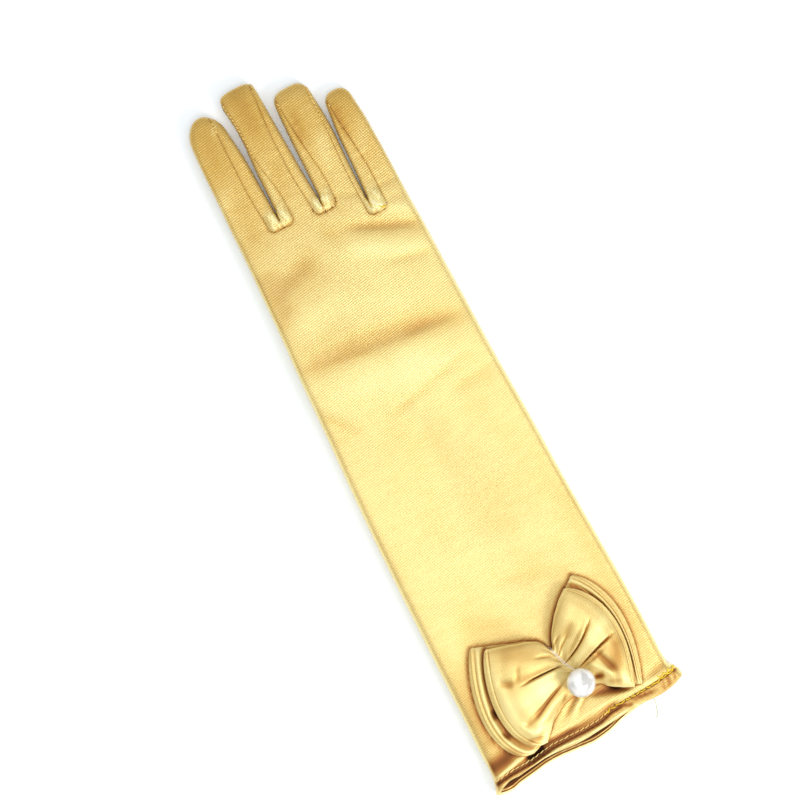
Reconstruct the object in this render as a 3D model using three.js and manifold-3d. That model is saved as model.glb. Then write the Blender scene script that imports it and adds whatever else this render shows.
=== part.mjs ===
// A child's long dress glove in stretch satin, for the right hand. It lies flat with its back up:
// fingers point along +Y, the little finger is on the +X side, and the open cuff is at -Y.
// The pieces are the folded body, three strips between the fingers (fourchettes), the thumb
// that is tucked under the palm, a double bow sewn on near the cuff and a bead on its waist.
// All lengths are in millimetres.
import * as THREE from "three";
import { mergeVertices } from "three/addons/utils/BufferGeometryUtils.js";
import Module from "manifold-3d";

const wasm = await Module();
wasm.setup();

// Cloth
const WALL = 1.0; // one layer of satin
const HEM_WIDTH = 4.5; // turned edge at the mouth
const HEM_WALL = 1.5; // two layers, pressed by the stitching
const SEAM_GAP = 0.3; // between two pieces that are sewn together
const REST_GAP = 0.3; // between two pieces that lie on each other

// Body of the glove
const BODY_LENGTH = 246; // mouth to the crotch between the middle and ring fingers
const CUFF_WIDTH = 86; // laid flat, just above the hem
const ARM_HEIGHT = 10.6; // thickness of the relaxed sleeve, both layers and the air between
const FINGER_HEIGHT = 7.4; // the same at the roots of the fingers
const KNUCKLE_VALLEY = 13; // how far the dips between the fingers run into the hand
const FOLD_DEPTH = 1.2; // deepest dent in the back of the sleeve

// Fingers, from the thumb side: widths at the root, and lengths from the root to the tip
const INDEX_WIDTH = 19.9;
const INDEX_LENGTH = 50;
const MIDDLE_WIDTH = 18.5;
const MIDDLE_LENGTH = 55.5;
const RING_WIDTH = 17.6;
const RING_LENGTH = 51.4;
const LITTLE_WIDTH = 15.6;
const LITTLE_LENGTH = 45.5;
const INDEX_CROTCH_RISE = 3; // above the middle crotch
const LITTLE_CROTCH_DROP = 8; // below the middle crotch

// Thumb, pressed flat under the palm
const THUMB_LENGTH = 43; // middle of its hole to its tip
const THUMB_WIDTH = 17;
const THUMB_SLIT = 0.6; // what is left of its hollow
const THUMB_LEAN = 10; // degrees, towards the little finger
const THUMB_HOLE_LENGTH = 19;
const THUMB_HOLE_WIDTH = 12;
const THUMB_BELOW_CROTCH = 53; // from the middle crotch down to the middle of the hole
const THUMB_FROM_EDGE = 15; // from the edge of the body to the middle of the hole

// Bow and bead
const WAIST_UP = 27.8; // mouth to the middle of the bow's waist
const WAIST_ACROSS = 5.5; // from the glove's middle, towards the little finger
const BACK_BOW_WIDTH = 71;
const BACK_BOW_HEIGHT = 57;
const BACK_BOW_THICKNESS = 3.4;
const FRONT_BOW_WIDTH = 60;
const FRONT_BOW_HEIGHT = 52;
const FRONT_BOW_THICKNESS = 5.2;
const WAIST_THICKNESS = 2.4; // of each bow, where the thread gathers it
const BEAD_DIAMETER = 12;
const BEAD_HOLE = 1.6;
const BEAD_UP = 21.6; // mouth to the middle of the bead
const BEAD_ACROSS = 6.8;

const THUMB_THICKNESS = 2 * WALL + THUMB_SLIT;
const LIFT = THUMB_THICKNESS + REST_GAP; // how far the thumb holds the hand off the table
const PALM_WIDTH = INDEX_WIDTH + MIDDLE_WIDTH + RING_WIDTH + LITTLE_WIDTH;
const TIP_DROOP = 0.4; // how far the fingertips sink back to the table, as a share of LIFT
const EDGE_SHARE = 0.42; // height of the folded edge, as a share of the glove's thickness

// Sections of the body. along: share of BODY_LENGTH from the mouth. flare: share of the way from
// the palm's width to the cuff's. shift: of the middle, in palm widths. puff: share of the way
// from the fingers' height to the arm's. lift: share of LIFT.
const BODY_SECTIONS = [
  { along: 0.0, flare: 1.22, shift: 0.003, puff: 1.0, lift: 0.0 },
  { along: 0.028, flare: 1.04, shift: 0.0, puff: 1.0, lift: 0.0 },
  { along: 0.05, flare: 0.96, shift: -0.01, puff: 1.0, lift: 0.0 },
  { along: 0.1, flare: 0.93, shift: -0.007, puff: 1.0, lift: 0.0 },
  { along: 0.18, flare: 0.9, shift: -0.004, puff: 1.0, lift: 0.0 },
  { along: 0.285, flare: 0.81, shift: -0.005, puff: 1.0, lift: 0.0 },
  { along: 0.41, flare: 0.69, shift: -0.005, puff: 1.0, lift: 0.0 },
  { along: 0.53, flare: 0.57, shift: 0.001, puff: 1.0, lift: 0.0 },
  { along: 0.62, flare: 0.43, shift: 0.006, puff: 0.95, lift: 0.15 },
  { along: 0.7, flare: 0.34, shift: 0.012, puff: 0.78, lift: 0.75 },
  { along: 0.74, flare: 0.3, shift: 0.015, puff: 0.65, lift: 1.0 },
  { along: 0.81, flare: 0.2, shift: 0.022, puff: 0.5, lift: 1.0 },
  { along: 0.89, flare: 0.12, shift: 0.029, puff: 0.38, lift: 1.0 },
  { along: 0.95, flare: 0.04, shift: 0.032, puff: 0.2, lift: 1.0 },
  { along: 1.0, flare: 0.0, shift: 0.035, puff: 0.0, lift: 1.0 },
];

// Edge of the mouth. across: share of the width, from the thumb side. back and palm: how far that
// layer's edge lies above the mouth line. wave: of its height. Lengths in cuff widths.
const MOUTH_EDGE = [
  { across: 0.0, back: -0.047, palm: -0.047, wave: 0.0 },
  { across: 0.12, back: -0.008, palm: -0.045, wave: 0.002 },
  { across: 0.28, back: 0.009, palm: -0.027, wave: 0.005 },
  { across: 0.42, back: 0.002, palm: -0.036, wave: -0.002 },
  { across: 0.55, back: 0.01, palm: -0.031, wave: 0.004 },
  { across: 0.66, back: 0.019, palm: -0.007, wave: 0.0 },
  { across: 0.78, back: 0.019, palm: 0.012, wave: 0.003 },
  { across: 0.9, back: 0.017, palm: 0.014, wave: 0.001 },
  { across: 1.0, back: 0.052, palm: 0.052, wave: 0.0 },
];

// Dents and swells of the back of the hand and the sleeve. across: in palm widths from the middle.
// along: share of BODY_LENGTH. turn: degrees from the X axis. long and wide: in palm widths.
// deep: share of FOLD_DEPTH, with a swell below zero.
const BODY_FOLDS = [
  { across: 0.02, along: 0.755, turn: -7, long: 0.52, wide: 0.055, deep: 0.75 }, // wrist crease
  { across: 0.0, along: 0.695, turn: -8, long: 0.5, wide: 0.09, deep: -0.3 },
  { across: 0.33, along: 0.905, turn: -36, long: 0.22, wide: 0.035, deep: 0.8 }, // little knuckle
  { across: 0.3, along: 0.87, turn: -30, long: 0.25, wide: 0.05, deep: -0.35 },
  { across: -0.3, along: 0.9, turn: 22, long: 0.2, wide: 0.07, deep: 0.6 }, // index knuckle
  { across: -0.28, along: 0.835, turn: 12, long: 0.3, wide: 0.08, deep: -0.3 },
  { across: 0.12, along: 0.635, turn: -4, long: 0.3, wide: 0.05, deep: 0.3 },
  { across: 0.3, along: 0.585, turn: 8, long: 0.22, wide: 0.05, deep: 0.25 },
  { across: -0.25, along: 0.25, turn: -45, long: 0.2, wide: 0.06, deep: 0.35 }, // above the bow
  { across: 0.15, along: 0.28, turn: -20, long: 0.2, wide: 0.05, deep: 0.3 },
  { across: -0.5, along: 0.037, turn: 6, long: 0.14, wide: 0.055, deep: 1.0 }, // below the bow
  { across: 0.25, along: 0.05, turn: 16, long: 0.15, wide: 0.05, deep: 0.7 },
];

// Rows of the cloth's net from the top of the hem to the crotches, as shares of that length
const SLEEVE_ROWS = [
  0, 0.006, 0.03, 0.08, 0.15, 0.24, 0.33, 0.43, 0.52, 0.59, 0.65, 0.7, 0.735, 0.765, 0.8, 0.85, 0.89,
  0.925, 0.95, 0.975, 1,
];
// Columns across one finger's width of cloth, and rows up a finger
const FINGER_COLUMNS = [0, 0.1, 0.28, 0.5, 0.72, 0.9, 1];
const FINGER_ROWS = [0.18, 0.38, 0.58, 0.76, 0.89, 0.96, 1];

// Fingers. sides: along is a share of the length, left and right are in root widths from the
// middle of the root, and the last row is where the tip starts to round. squareness: 2 rounds the
// tip as an ellipse, and more makes it squarer.
const FINGERS = [
  {
    width: INDEX_WIDTH,
    length: INDEX_LENGTH,
    squareness: 2,
    sides: [
      { along: 0, left: -0.5, right: 0.5 },
      { along: 0.26, left: -0.47, right: 0.482 },
      { along: 0.46, left: -0.45, right: 0.472 },
      { along: 0.62, left: -0.435, right: 0.45 },
      { along: 0.76, left: -0.415, right: 0.415 },
    ],
  },
  {
    width: MIDDLE_WIDTH,
    length: MIDDLE_LENGTH,
    squareness: 2.8,
    sides: [
      { along: 0, left: -0.5, right: 0.5 },
      { along: 0.19, left: -0.472, right: 0.465 },
      { along: 0.37, left: -0.46, right: 0.446 },
      { along: 0.5, left: -0.432, right: 0.435 },
      { along: 0.64, left: -0.411, right: 0.422 },
      { along: 0.78, left: -0.427, right: 0.411 },
      { along: 0.89, left: -0.46, right: 0.405 },
    ],
  },
  {
    width: RING_WIDTH,
    length: RING_LENGTH,
    squareness: 2.8,
    sides: [
      { along: 0, left: -0.5, right: 0.5 },
      { along: 0.27, left: -0.466, right: 0.518 },
      { along: 0.47, left: -0.455, right: 0.545 },
      { along: 0.62, left: -0.443, right: 0.548 },
      { along: 0.8, left: -0.42, right: 0.517 },
    ],
  },
  {
    width: LITTLE_WIDTH,
    length: LITTLE_LENGTH,
    squareness: 2.4,
    sides: [
      { along: 0, left: -0.5, right: 0.5 },
      { along: 0.26, left: -0.445, right: 0.5 },
      { along: 0.48, left: -0.415, right: 0.487 },
      { along: 0.66, left: -0.385, right: 0.474 },
      { along: 0.81, left: -0.333, right: 0.436 },
    ],
  },
];

// Seams of each strip between two fingers. along: share of the finger's length. first and second:
// how far the seam lies in from the edge on the finger before the gap and on the one after it, in
// that finger's width there. drop: of the strip's square end below the crotch, in finger heights.
const FOURCHETTES = [
  {
    name: "fourchette_index_middle",
    drop: 0.88,
    seams: [
      { along: 0, first: 0.29, second: 0.3 },
      { along: 0.2, first: 0.32, second: 0.26 },
      { along: 0.4, first: 0.32, second: 0.14 },
      { along: 0.6, first: 0.3, second: 0.07 },
      { along: 0.8, first: 0.26, second: 0.06 },
      { along: 1, first: 0.26, second: 0.05 },
    ],
  },
  {
    name: "fourchette_middle_ring",
    drop: 0.75,
    seams: [
      { along: 0, first: 0.24, second: 0.32 },
      { along: 0.2, first: 0.27, second: 0.33 },
      { along: 0.4, first: 0.26, second: 0.26 },
      { along: 0.6, first: 0.24, second: 0.19 },
      { along: 0.8, first: 0.16, second: 0.13 },
      { along: 1, first: 0.09, second: 0.09 },
    ],
  },
  {
    name: "fourchette_ring_little",
    drop: 1.08,
    seams: [
      { along: 0, first: 0.14, second: 0.41 },
      { along: 0.2, first: 0.15, second: 0.39 },
      { along: 0.4, first: 0.14, second: 0.34 },
      { along: 0.6, first: 0.12, second: 0.26 },
      { along: 0.8, first: 0.08, second: 0.16 },
      { along: 1, first: 0.06, second: 0.08 },
    ],
  },
];

// Ribs of each bow, from its left mouth over the waist to its right mouth. along: -1 to 1. topX and
// topY, bottomX and bottomY: the rib's two ends, from the waist's middle, in bow widths and
// heights. bulge: of the rib, away from the waist, in bow widths. sag: over 1 puts the bulge nearer
// the bottom and under 1 nearer the top. curve: under 1 makes the bulge broader and its ends rounder.
// full: share of the thickness that the bow has there beyond the waist's.
const FRONT_RIBS = [
  { along: -1.0, topX: -0.45, topY: 0.452, bottomX: -0.375, bottomY: -0.42,
    bulge: 0.182, sag: 1.5, curve: 0.5, full: 0.35 },
  { along: -0.8, topX: -0.35, topY: 0.42, bottomX: -0.31, bottomY: -0.35,
    bulge: 0.15, sag: 1.5, curve: 0.55, full: 0.85 },
  { along: -0.55, topX: -0.24, topY: 0.378, bottomX: -0.24, bottomY: -0.268,
    bulge: 0.09, sag: 1.35, curve: 0.7, full: 1.0 },
  { along: -0.3, topX: -0.14, topY: 0.332, bottomX: -0.14, bottomY: -0.2,
    bulge: 0.035, sag: 1.15, curve: 0.9, full: 0.7 },
  { along: -0.12, topX: -0.083, topY: 0.274, bottomX: -0.04, bottomY: -0.19,
    bulge: 0.008, sag: 1, curve: 1, full: 0.2 },
  { along: 0, topX: -0.05, topY: 0.207, bottomX: 0.05, bottomY: -0.207,
    bulge: 0, sag: 1, curve: 1, full: 0 },
  { along: 0.12, topX: -0.017, topY: 0.284, bottomX: 0.11, bottomY: -0.192,
    bulge: 0.008, sag: 1, curve: 1, full: 0.2 },
  { along: 0.3, topX: 0.042, topY: 0.39, bottomX: 0.175, bottomY: -0.253,
    bulge: 0.035, sag: 0.95, curve: 1, full: 0.7 },
  { along: 0.55, topX: 0.108, topY: 0.478, bottomX: 0.233, bottomY: -0.297,
    bulge: 0.09, sag: 0.9, curve: 1, full: 1.0 },
  { along: 0.8, topX: 0.175, topY: 0.551, bottomX: 0.283, bottomY: -0.33,
    bulge: 0.135, sag: 0.85, curve: 1, full: 0.85 },
  { along: 1.0, topX: 0.222, topY: 0.587, bottomX: 0.333, bottomY: -0.357,
    bulge: 0.16, sag: 0.8, curve: 1, full: 0.35 },
];
const BACK_RIBS = [
  { along: -1.0, topX: -0.451, topY: 0.465, bottomX: -0.415, bottomY: -0.413,
    bulge: 0.163, sag: 1.5, curve: 0.5, full: 1 },
  { along: -0.8, topX: -0.345, topY: 0.418, bottomX: -0.345, bottomY: -0.382,
    bulge: 0.135, sag: 1.5, curve: 0.55, full: 1 },
  { along: -0.55, topX: -0.232, topY: 0.362, bottomX: -0.26, bottomY: -0.32,
    bulge: 0.09, sag: 1.35, curve: 0.7, full: 1 },
  { along: -0.3, topX: -0.134, topY: 0.313, bottomX: -0.176, bottomY: -0.242,
    bulge: 0.035, sag: 1.15, curve: 0.9, full: 0.6 },
  { along: -0.12, topX: -0.07, topY: 0.255, bottomX: -0.05, bottomY: -0.18,
    bulge: 0.008, sag: 1, curve: 1, full: 0.2 },
  { along: 0, topX: -0.042, topY: 0.189, bottomX: 0.042, bottomY: -0.189,
    bulge: 0, sag: 1, curve: 1, full: 0 },
  { along: 0.12, topX: -0.007, topY: 0.268, bottomX: 0.106, bottomY: -0.189,
    bulge: 0.008, sag: 1, curve: 1, full: 0.2 },
  { along: 0.3, topX: 0.056, topY: 0.373, bottomX: 0.169, bottomY: -0.241,
    bulge: 0.03, sag: 0.95, curve: 1, full: 0.6 },
  { along: 0.55, topX: 0.127, topY: 0.46, bottomX: 0.225, bottomY: -0.283,
    bulge: 0.07, sag: 0.9, curve: 1, full: 1 },
  { along: 0.8, topX: 0.197, topY: 0.534, bottomX: 0.282, bottomY: -0.315,
    bulge: 0.107, sag: 0.85, curve: 1, full: 1 },
  { along: 1.0, topX: 0.26, topY: 0.59, bottomX: 0.331, bottomY: -0.336,
    bulge: 0.125, sag: 0.8, curve: 1, full: 1 },
];

// Creases that run out from the waist over the front bow. side: -1 left, 1 right. near and far:
// where the crease crosses the rib at the waist and at its end, as a share from the top. reach: how
// far out it runs. wide: share of a rib. deep: share of the bow's thickness.
const BOW_CREASES = [
  { side: -1, near: 0.35, far: 0.46, reach: 0.75, wide: 0.05, deep: 0.4 },
  { side: -1, near: 0.6, far: 0.82, reach: 0.85, wide: 0.05, deep: 0.4 },
  { side: -1, near: 0.84, far: 0.97, reach: 0.6, wide: 0.05, deep: 0.3 },
  { side: 1, near: 0.34, far: 0.28, reach: 0.85, wide: 0.05, deep: 0.4 },
  { side: 1, near: 0.52, far: 0.5, reach: 1.0, wide: 0.05, deep: 0.4 },
  { side: 1, near: 0.8, far: 0.88, reach: 0.5, wide: 0.07, deep: 0.35 },
];

// Rows of a bow's net from one mouth to the other, and columns across each bow
const BOW_ROWS = [-1, -0.88, -0.72, -0.54, -0.36, -0.2, -0.09, 0, 0.09, 0.2, 0.36, 0.54, 0.72, 0.88, 1];
const FRONT_BOW_COLUMNS = [0, 0.05, 0.15, 0.27, 0.36, 0.45, 0.54, 0.63, 0.74, 0.85, 0.95, 1];
const BACK_BOW_COLUMNS = [0, 0.05, 0.15, 0.3, 0.5, 0.7, 0.85, 0.95, 1];

const mix = (a, b, t) => a + (b - a) * t;
const clamp01 = (t) => Math.min(1, Math.max(0, t));
const smooth = (t) => clamp01(t) ** 2 * (3 - 2 * clamp01(t));

const PER_FINGER = FINGER_COLUMNS.length - 1;
const LAST_COLUMN = PER_FINGER * FINGERS.length;

// How square the cross-sections are: 2 is an ellipse
const BACK_SQUARENESS = 6;
const FINGER_SQUARENESS = 4;
const PALM_SQUARENESS = 8;
const PALM_FLATNESS = 1.08; // over 1 leaves a flat strip along the middle
const TIP_SQUARENESS = 10; // of a fingertip, seen from the side
const TIP_HEIGHT = 0.93; // of a finger at its tip, as a share of its height at the root
const DROOP_FROM = 0.5; // share of a finger's length from which its tip sinks
const CROTCH_SETBACK = 1.5; // of the inner face at a crotch, in walls
const WAVE_REACH = 4 * HEM_WIDTH; // how far up the mouth's loose waves run
const TAB_CORNER = 0.3 * FINGER_HEIGHT; // of the square end of a strip between two fingers
const BOW_EDGE = 0.93; // beyond this share of the sleeve's half width, a bow no longer bends down
const CREASE_START = 0.125; // how far from the waist a crease reaches its full depth

// The value of a column of a table where its key column is at, on a smooth curve through the rows
function read(table, key, column, at) {
  const last = table.length - 1;
  if (at <= table[0][key]) return table[0][column];
  if (at >= table[last][key]) return table[last][column];
  let i = 0;
  while (table[i + 1][key] < at) i++;
  const slope = (a, b) => (table[b][column] - table[a][column]) / (table[b][key] - table[a][key]);
  const step = table[i + 1][key] - table[i][key];
  const here = slope(i, i + 1);
  const before = i > 0 ? (slope(i - 1, i) + here) / 2 : here;
  const after = i + 1 < last ? (here + slope(i + 1, i + 2)) / 2 : here;
  const t = (at - table[i][key]) / step;
  const start = table[i][column] + t * step * before;
  const end = table[i + 1][column] - (1 - t) * step * after;
  return mix(start, end, smooth(t));
}

// Height of a layer over its edge, from 0 at the edge of the section to 1 over its middle
const backOfBody = (off) => Math.sqrt(1 - Math.min(1, off) ** BACK_SQUARENESS);
const backOfFinger = (off) => Math.sqrt(1 - Math.min(1, off) ** FINGER_SQUARENESS);
const palmOf = (off) =>
  Math.min(1, PALM_FLATNESS * Math.sqrt(1 - Math.min(1, off) ** PALM_SQUARENESS));

// Outline of the body at a height y above the mouth line
function bodyEdges(y) {
  const along = y / BODY_LENGTH;
  const width = PALM_WIDTH + (CUFF_WIDTH - PALM_WIDTH) * read(BODY_SECTIONS, "along", "flare", along);
  const middle = PALM_WIDTH * read(BODY_SECTIONS, "along", "shift", along);
  return { left: middle - width / 2, right: middle + width / 2 };
}

const liftAt = (y) => LIFT * Math.max(0, read(BODY_SECTIONS, "along", "lift", y / BODY_LENGTH));
const heightAt = (y) =>
  mix(FINGER_HEIGHT, ARM_HEIGHT, read(BODY_SECTIONS, "along", "puff", y / BODY_LENGTH));

// Crotches and outer edges at the knuckles: the corners between which the fingers stand
const KNUCKLE_RISES = [INDEX_CROTCH_RISE, INDEX_CROTCH_RISE, 0, -LITTLE_CROTCH_DROP, -LITTLE_CROTCH_DROP];
const handLeft = bodyEdges(BODY_LENGTH).left;
const knuckles = KNUCKLE_RISES.map((rise, i) => ({
  x: FINGERS.slice(0, i).reduce((x, finger) => x + finger.width, handLeft),
  y: BODY_LENGTH + rise,
}));

// The middle of the thumb's hole
const thumbRoot = { x: 0, y: BODY_LENGTH - THUMB_BELOW_CROTCH };
thumbRoot.x = bodyEdges(thumbRoot.y).left + THUMB_FROM_EDGE;
const thumbLean = THREE.MathUtils.degToRad(THUMB_LEAN);

// The thumb lifts the hand as far across as it reaches, and beyond it the hand slopes to the table
const thumbReach = thumbRoot.x + THUMB_LENGTH * Math.sin(thumbLean) + THUMB_WIDTH / 2;
const thumbShare = (thumbReach - handLeft) / PALM_WIDTH;
const slopeAt = (across) => clamp01((1 - across) / (1 - thumbShare));

// A column of the net: its finger, its share of that finger's width and of the hand's
function columnAt(column) {
  const f = Math.min(FINGERS.length - 1, Math.floor(column / PER_FINGER));
  const within = FINGER_COLUMNS[column - f * PER_FINGER];
  const across = (mix(knuckles[f].x, knuckles[f + 1].x, within) - handLeft) / PALM_WIDTH;
  const top = mix(knuckles[f].y, knuckles[f + 1].y, within);
  return { f, within, across, top };
}

// How far the folds lower the back at a point
function foldsAt(x, y) {
  let depth = 0;
  for (const fold of BODY_FOLDS) {
    const turn = THREE.MathUtils.degToRad(fold.turn);
    const dx = x - fold.across * PALM_WIDTH;
    const dy = y - fold.along * BODY_LENGTH;
    const run = (dx * Math.cos(turn) + dy * Math.sin(turn)) / (fold.long * PALM_WIDTH);
    const side = (dy * Math.cos(turn) - dx * Math.sin(turn)) / (fold.wide * PALM_WIDTH);
    depth += fold.deep * FOLD_DEPTH * Math.exp(-(run ** 4) - side ** 2);
  }
  return depth;
}

// How far the back stands up at the mouth's loose edge
function waveAt(across, y) {
  const fade = 1 - smooth(y / WAVE_REACH);
  return CUFF_WIDTH * read(MOUTH_EDGE, "across", "wave", across) * fade;
}

// Outline of a finger at a height y above the mouth line
function fingerEdges(f, y) {
  const finger = FINGERS[f];
  const rootX = (knuckles[f].x + knuckles[f + 1].x) / 2;
  const rootY = (knuckles[f].y + knuckles[f + 1].y) / 2;
  const along = (y - rootY) / finger.length;
  return {
    left: rootX + finger.width * read(finger.sides, "along", "left", along),
    right: rootX + finger.width * read(finger.sides, "along", "right", along),
    shoulder: rootY + finger.length * finger.sides.at(-1).along,
    tip: rootY + finger.length,
    along,
  };
}

// A point of the body's cloth. layer: 1 is the back of the hand, -1 the palm. column: one of the
// net's columns. row: share of the way from the mouth to the crotches. inset: depth of the point
// inside the outer face.
function bodyPoint(layer, column, row, inset) {
  const { within, across, top } = columnAt(column);
  const mouth = CUFF_WIDTH * read(MOUTH_EDGE, "across", layer > 0 ? "back" : "palm", across);
  const crotch = within % 1 === 0 && column > 0 && column < LAST_COLUMN;
  const y = mix(mouth, top, row) - (crotch && row === 1 ? CROTCH_SETBACK * inset : 0);
  const { left, right } = bodyEdges(y);
  const x = mix(left + inset, right - inset, across);
  const floor = liftAt(y) * slopeAt(across);
  const height = heightAt(y);
  const edge = EDGE_SHARE * height;
  const off = Math.abs(2 * across - 1);
  const offFinger = Math.abs(2 * within - 1);
  const valley = smooth((y - top + KNUCKLE_VALLEY) / KNUCKLE_VALLEY) ** 2;
  if (layer < 0) {
    const flat = row === 1 ? palmOf(offFinger) : mix(palmOf(off), palmOf(offFinger), valley);
    return [x, y, floor + edge - (edge - inset) * flat];
  }
  const dome = row === 1 ? backOfFinger(offFinger) : mix(backOfBody(off), backOfFinger(offFinger), valley);
  const rise = height - edge - inset - foldsAt(x, y) + waveAt(across, y);
  return [x, y, floor + edge + rise * dome];
}

// A point of a finger's cloth. column and row: row is a share of that column's way to the tip
function fingerPoint(layer, column, row, inset) {
  const { f, within, across, top } = column;
  const { shoulder, tip } = fingerEdges(f, top);
  const off = Math.abs(2 * within - 1);
  const n = FINGERS[f].squareness;
  const end = shoulder + (tip - inset - shoulder) * Math.max(0, 1 - off ** n) ** (1 / n);
  const y = mix(top, end, row);
  const { left, right, along } = fingerEdges(f, y);
  const x = mix(left + inset, right - inset, within);
  const droop = 1 - TIP_DROOP * smooth((along - DROOP_FROM) / (1 - DROOP_FROM));
  const floor = LIFT * slopeAt(across) * droop;
  const height = FINGER_HEIGHT * mix(1, TIP_HEIGHT, smooth(along));
  const edge = EDGE_SHARE * height;
  const tipFall = Math.sqrt(Math.max(0, 1 - row ** TIP_SQUARENESS));
  if (layer < 0) return [x, y, floor + edge - (edge - inset) * palmOf(off) * tipFall];
  return [x, y, floor + edge + (height - edge - inset) * backOfFinger(off) * tipFall];
}

// Gathers points and triangles, and gives them as a closed solid
class Net {
  constructor() {
    this.points = [];
    this.triangles = [];
  }
  add(point) {
    return this.points.push(point) - 1;
  }
  quad(a, b, c, d, flip = false) {
    const corners = flip ? [d, c, b, a] : [a, b, c, d];
    this.triangle(corners[0], corners[1], corners[2]);
    this.triangle(corners[0], corners[2], corners[3]);
  }
  triangle(a, b, c) {
    if (a !== b && b !== c && c !== a) this.triangles.push(a, b, c);
  }
  solid() {
    return solidOf(new Float32Array(this.points.flat()), new Uint32Array(this.triangles));
  }
}

function solidOf(vertProperties, triVerts) {
  return new wasm.Manifold(new wasm.Mesh({ numProp: 3, vertProperties, triVerts }));
}

function solidFromGeometry(geometry) {
  const bare = geometry.index ? geometry.toNonIndexed() : geometry.clone();
  bare.deleteAttribute("normal");
  bare.deleteAttribute("uv");
  const merged = mergeVertices(bare, 1e-4);
  return solidOf(new Float32Array(merged.attributes.position.array), new Uint32Array(merged.index.array));
}

function geometryOf(solid) {
  const mesh = solid.getMesh();
  const geometry = new THREE.BufferGeometry();
  geometry.setAttribute("position", new THREE.BufferAttribute(new Float32Array(mesh.vertProperties), 3));
  geometry.setIndex(new THREE.BufferAttribute(new Uint32Array(mesh.triVerts), 1));
  geometry.computeVertexNormals();
  return geometry;
}

// Rows up the body: the mouth, then the rest of the sleeve. The turned hem doubles the wall.
const HEM_SHARE = HEM_WIDTH / BODY_LENGTH;
const BODY_ROWS = [0, ...SLEEVE_ROWS.map((share) => mix(HEM_SHARE, 1, share))];
const wallAt = (row) => (row <= HEM_SHARE ? HEM_WALL : WALL);

// One face of the whole glove, outer or inner: a back and a palm layer that share their outline.
// It returns the two edges at the mouth, where the outer and the inner face are joined.
function addSkin(net, insetAt, flip) {
  const layers = { back: [], palm: [] };
  const addRow = (into, columns, isShared, pointOf) => {
    const back = columns.map((column) => net.add(pointOf(1, column)));
    const palm = columns.map((column, c) => (isShared(c) ? back[c] : net.add(pointOf(-1, column))));
    into.back.push(back);
    into.palm.push(palm);
  };
  const allColumns = Array.from({ length: LAST_COLUMN + 1 }, (_, column) => column);
  BODY_ROWS.forEach((row) => {
    const isShared = (c) => c === 0 || c === LAST_COLUMN || (row === 1 && c % PER_FINGER === 0);
    addRow(layers, allColumns, isShared, (layer, column) => bodyPoint(layer, column, row, insetAt(row)));
  });
  const sheets = [layers];
  FINGERS.forEach((finger, f) => {
    const root = f * PER_FINGER;
    const cut = (row) => row.slice(root, root + PER_FINGER + 1);
    const strip = { back: [cut(layers.back.at(-1))], palm: [cut(layers.palm.at(-1))] };
    const columns = FINGER_COLUMNS.map((within, c) => {
      const across = (mix(knuckles[f].x, knuckles[f + 1].x, within) - handLeft) / PALM_WIDTH;
      return { f, within, across, top: mix(knuckles[f].y, knuckles[f + 1].y, within) };
    });
    FINGER_ROWS.forEach((row) => {
      const isShared = (c) => row === 1 || c === 0 || c === PER_FINGER;
      addRow(strip, columns, isShared, (layer, column) => fingerPoint(layer, column, row, insetAt(1)));
    });
    sheets.push(strip);
  });
  for (const sheet of sheets) {
    for (const [rows, turned] of [[sheet.back, flip], [sheet.palm, !flip]]) {
      for (let r = 0; r + 1 < rows.length; r++) {
        for (let c = 0; c + 1 < rows[r].length; c++) {
          net.quad(rows[r][c], rows[r][c + 1], rows[r + 1][c + 1], rows[r + 1][c], turned);
        }
      }
    }
  }
  return { back: layers.back[0], palm: layers.palm[0] };
}

// The sewn glove before its seams are cut: outer face, inner face and the rim of the mouth
function gloveShell() {
  const net = new Net();
  const outer = addSkin(net, () => 0, false);
  const inner = addSkin(net, wallAt, true);
  for (let c = 0; c < LAST_COLUMN; c++) {
    net.quad(outer.back[c + 1], outer.back[c], inner.back[c], inner.back[c + 1]);
    net.quad(outer.palm[c], outer.palm[c + 1], inner.palm[c + 1], inner.palm[c]);
  }
  return net.solid();
}

// An upright prism over the strip between fingers f and f + 1, grown by a margin on every side
function stripPrism(f, grow) {
  const { seams, drop } = FOURCHETTES[f];
  const crotch = knuckles[f + 1];
  const seamX = (finger, side, y) => {
    const edges = fingerEdges(finger, Math.max(y, crotch.y));
    const share = read(seams, "along", side > 0 ? "second" : "first", edges.along);
    const width = edges.right - edges.left;
    return side > 0 ? edges.left + share * width + grow : edges.right - share * width - grow;
  };
  const bottom = crotch.y - drop * FINGER_HEIGHT - grow;
  const past = FINGER_HEIGHT / 2;
  const firstTip = fingerEdges(f, crotch.y).tip + past;
  const secondTip = fingerEdges(f + 1, crotch.y).tip + past;
  const gapX = (y) => (fingerEdges(f, y).right + fingerEdges(f + 1, y).left) / 2;
  const steps = 7;
  const outline = [];
  for (let i = 0; i <= steps; i++) {
    const y = mix(bottom + TAB_CORNER, firstTip, i / steps);
    outline.push(new THREE.Vector2(seamX(f, -1, y), y));
  }
  outline.push(new THREE.Vector2(gapX(firstTip), firstTip));
  outline.push(new THREE.Vector2(gapX(secondTip), secondTip));
  for (let i = steps; i >= 0; i--) {
    const y = mix(bottom + TAB_CORNER, secondTip, i / steps);
    outline.push(new THREE.Vector2(seamX(f + 1, 1, y), y));
  }
  outline.push(new THREE.Vector2(seamX(f + 1, 1, bottom) - TAB_CORNER, bottom));
  outline.push(new THREE.Vector2(seamX(f, -1, bottom) + TAB_CORNER, bottom));
  const tall = 2 * (LIFT + ARM_HEIGHT);
  const geometry = new THREE.ExtrudeGeometry(new THREE.Shape(outline), { depth: tall, bevelEnabled: false });
  geometry.translate(0, 0, -LIFT);
  return solidFromGeometry(geometry);
}

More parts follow.
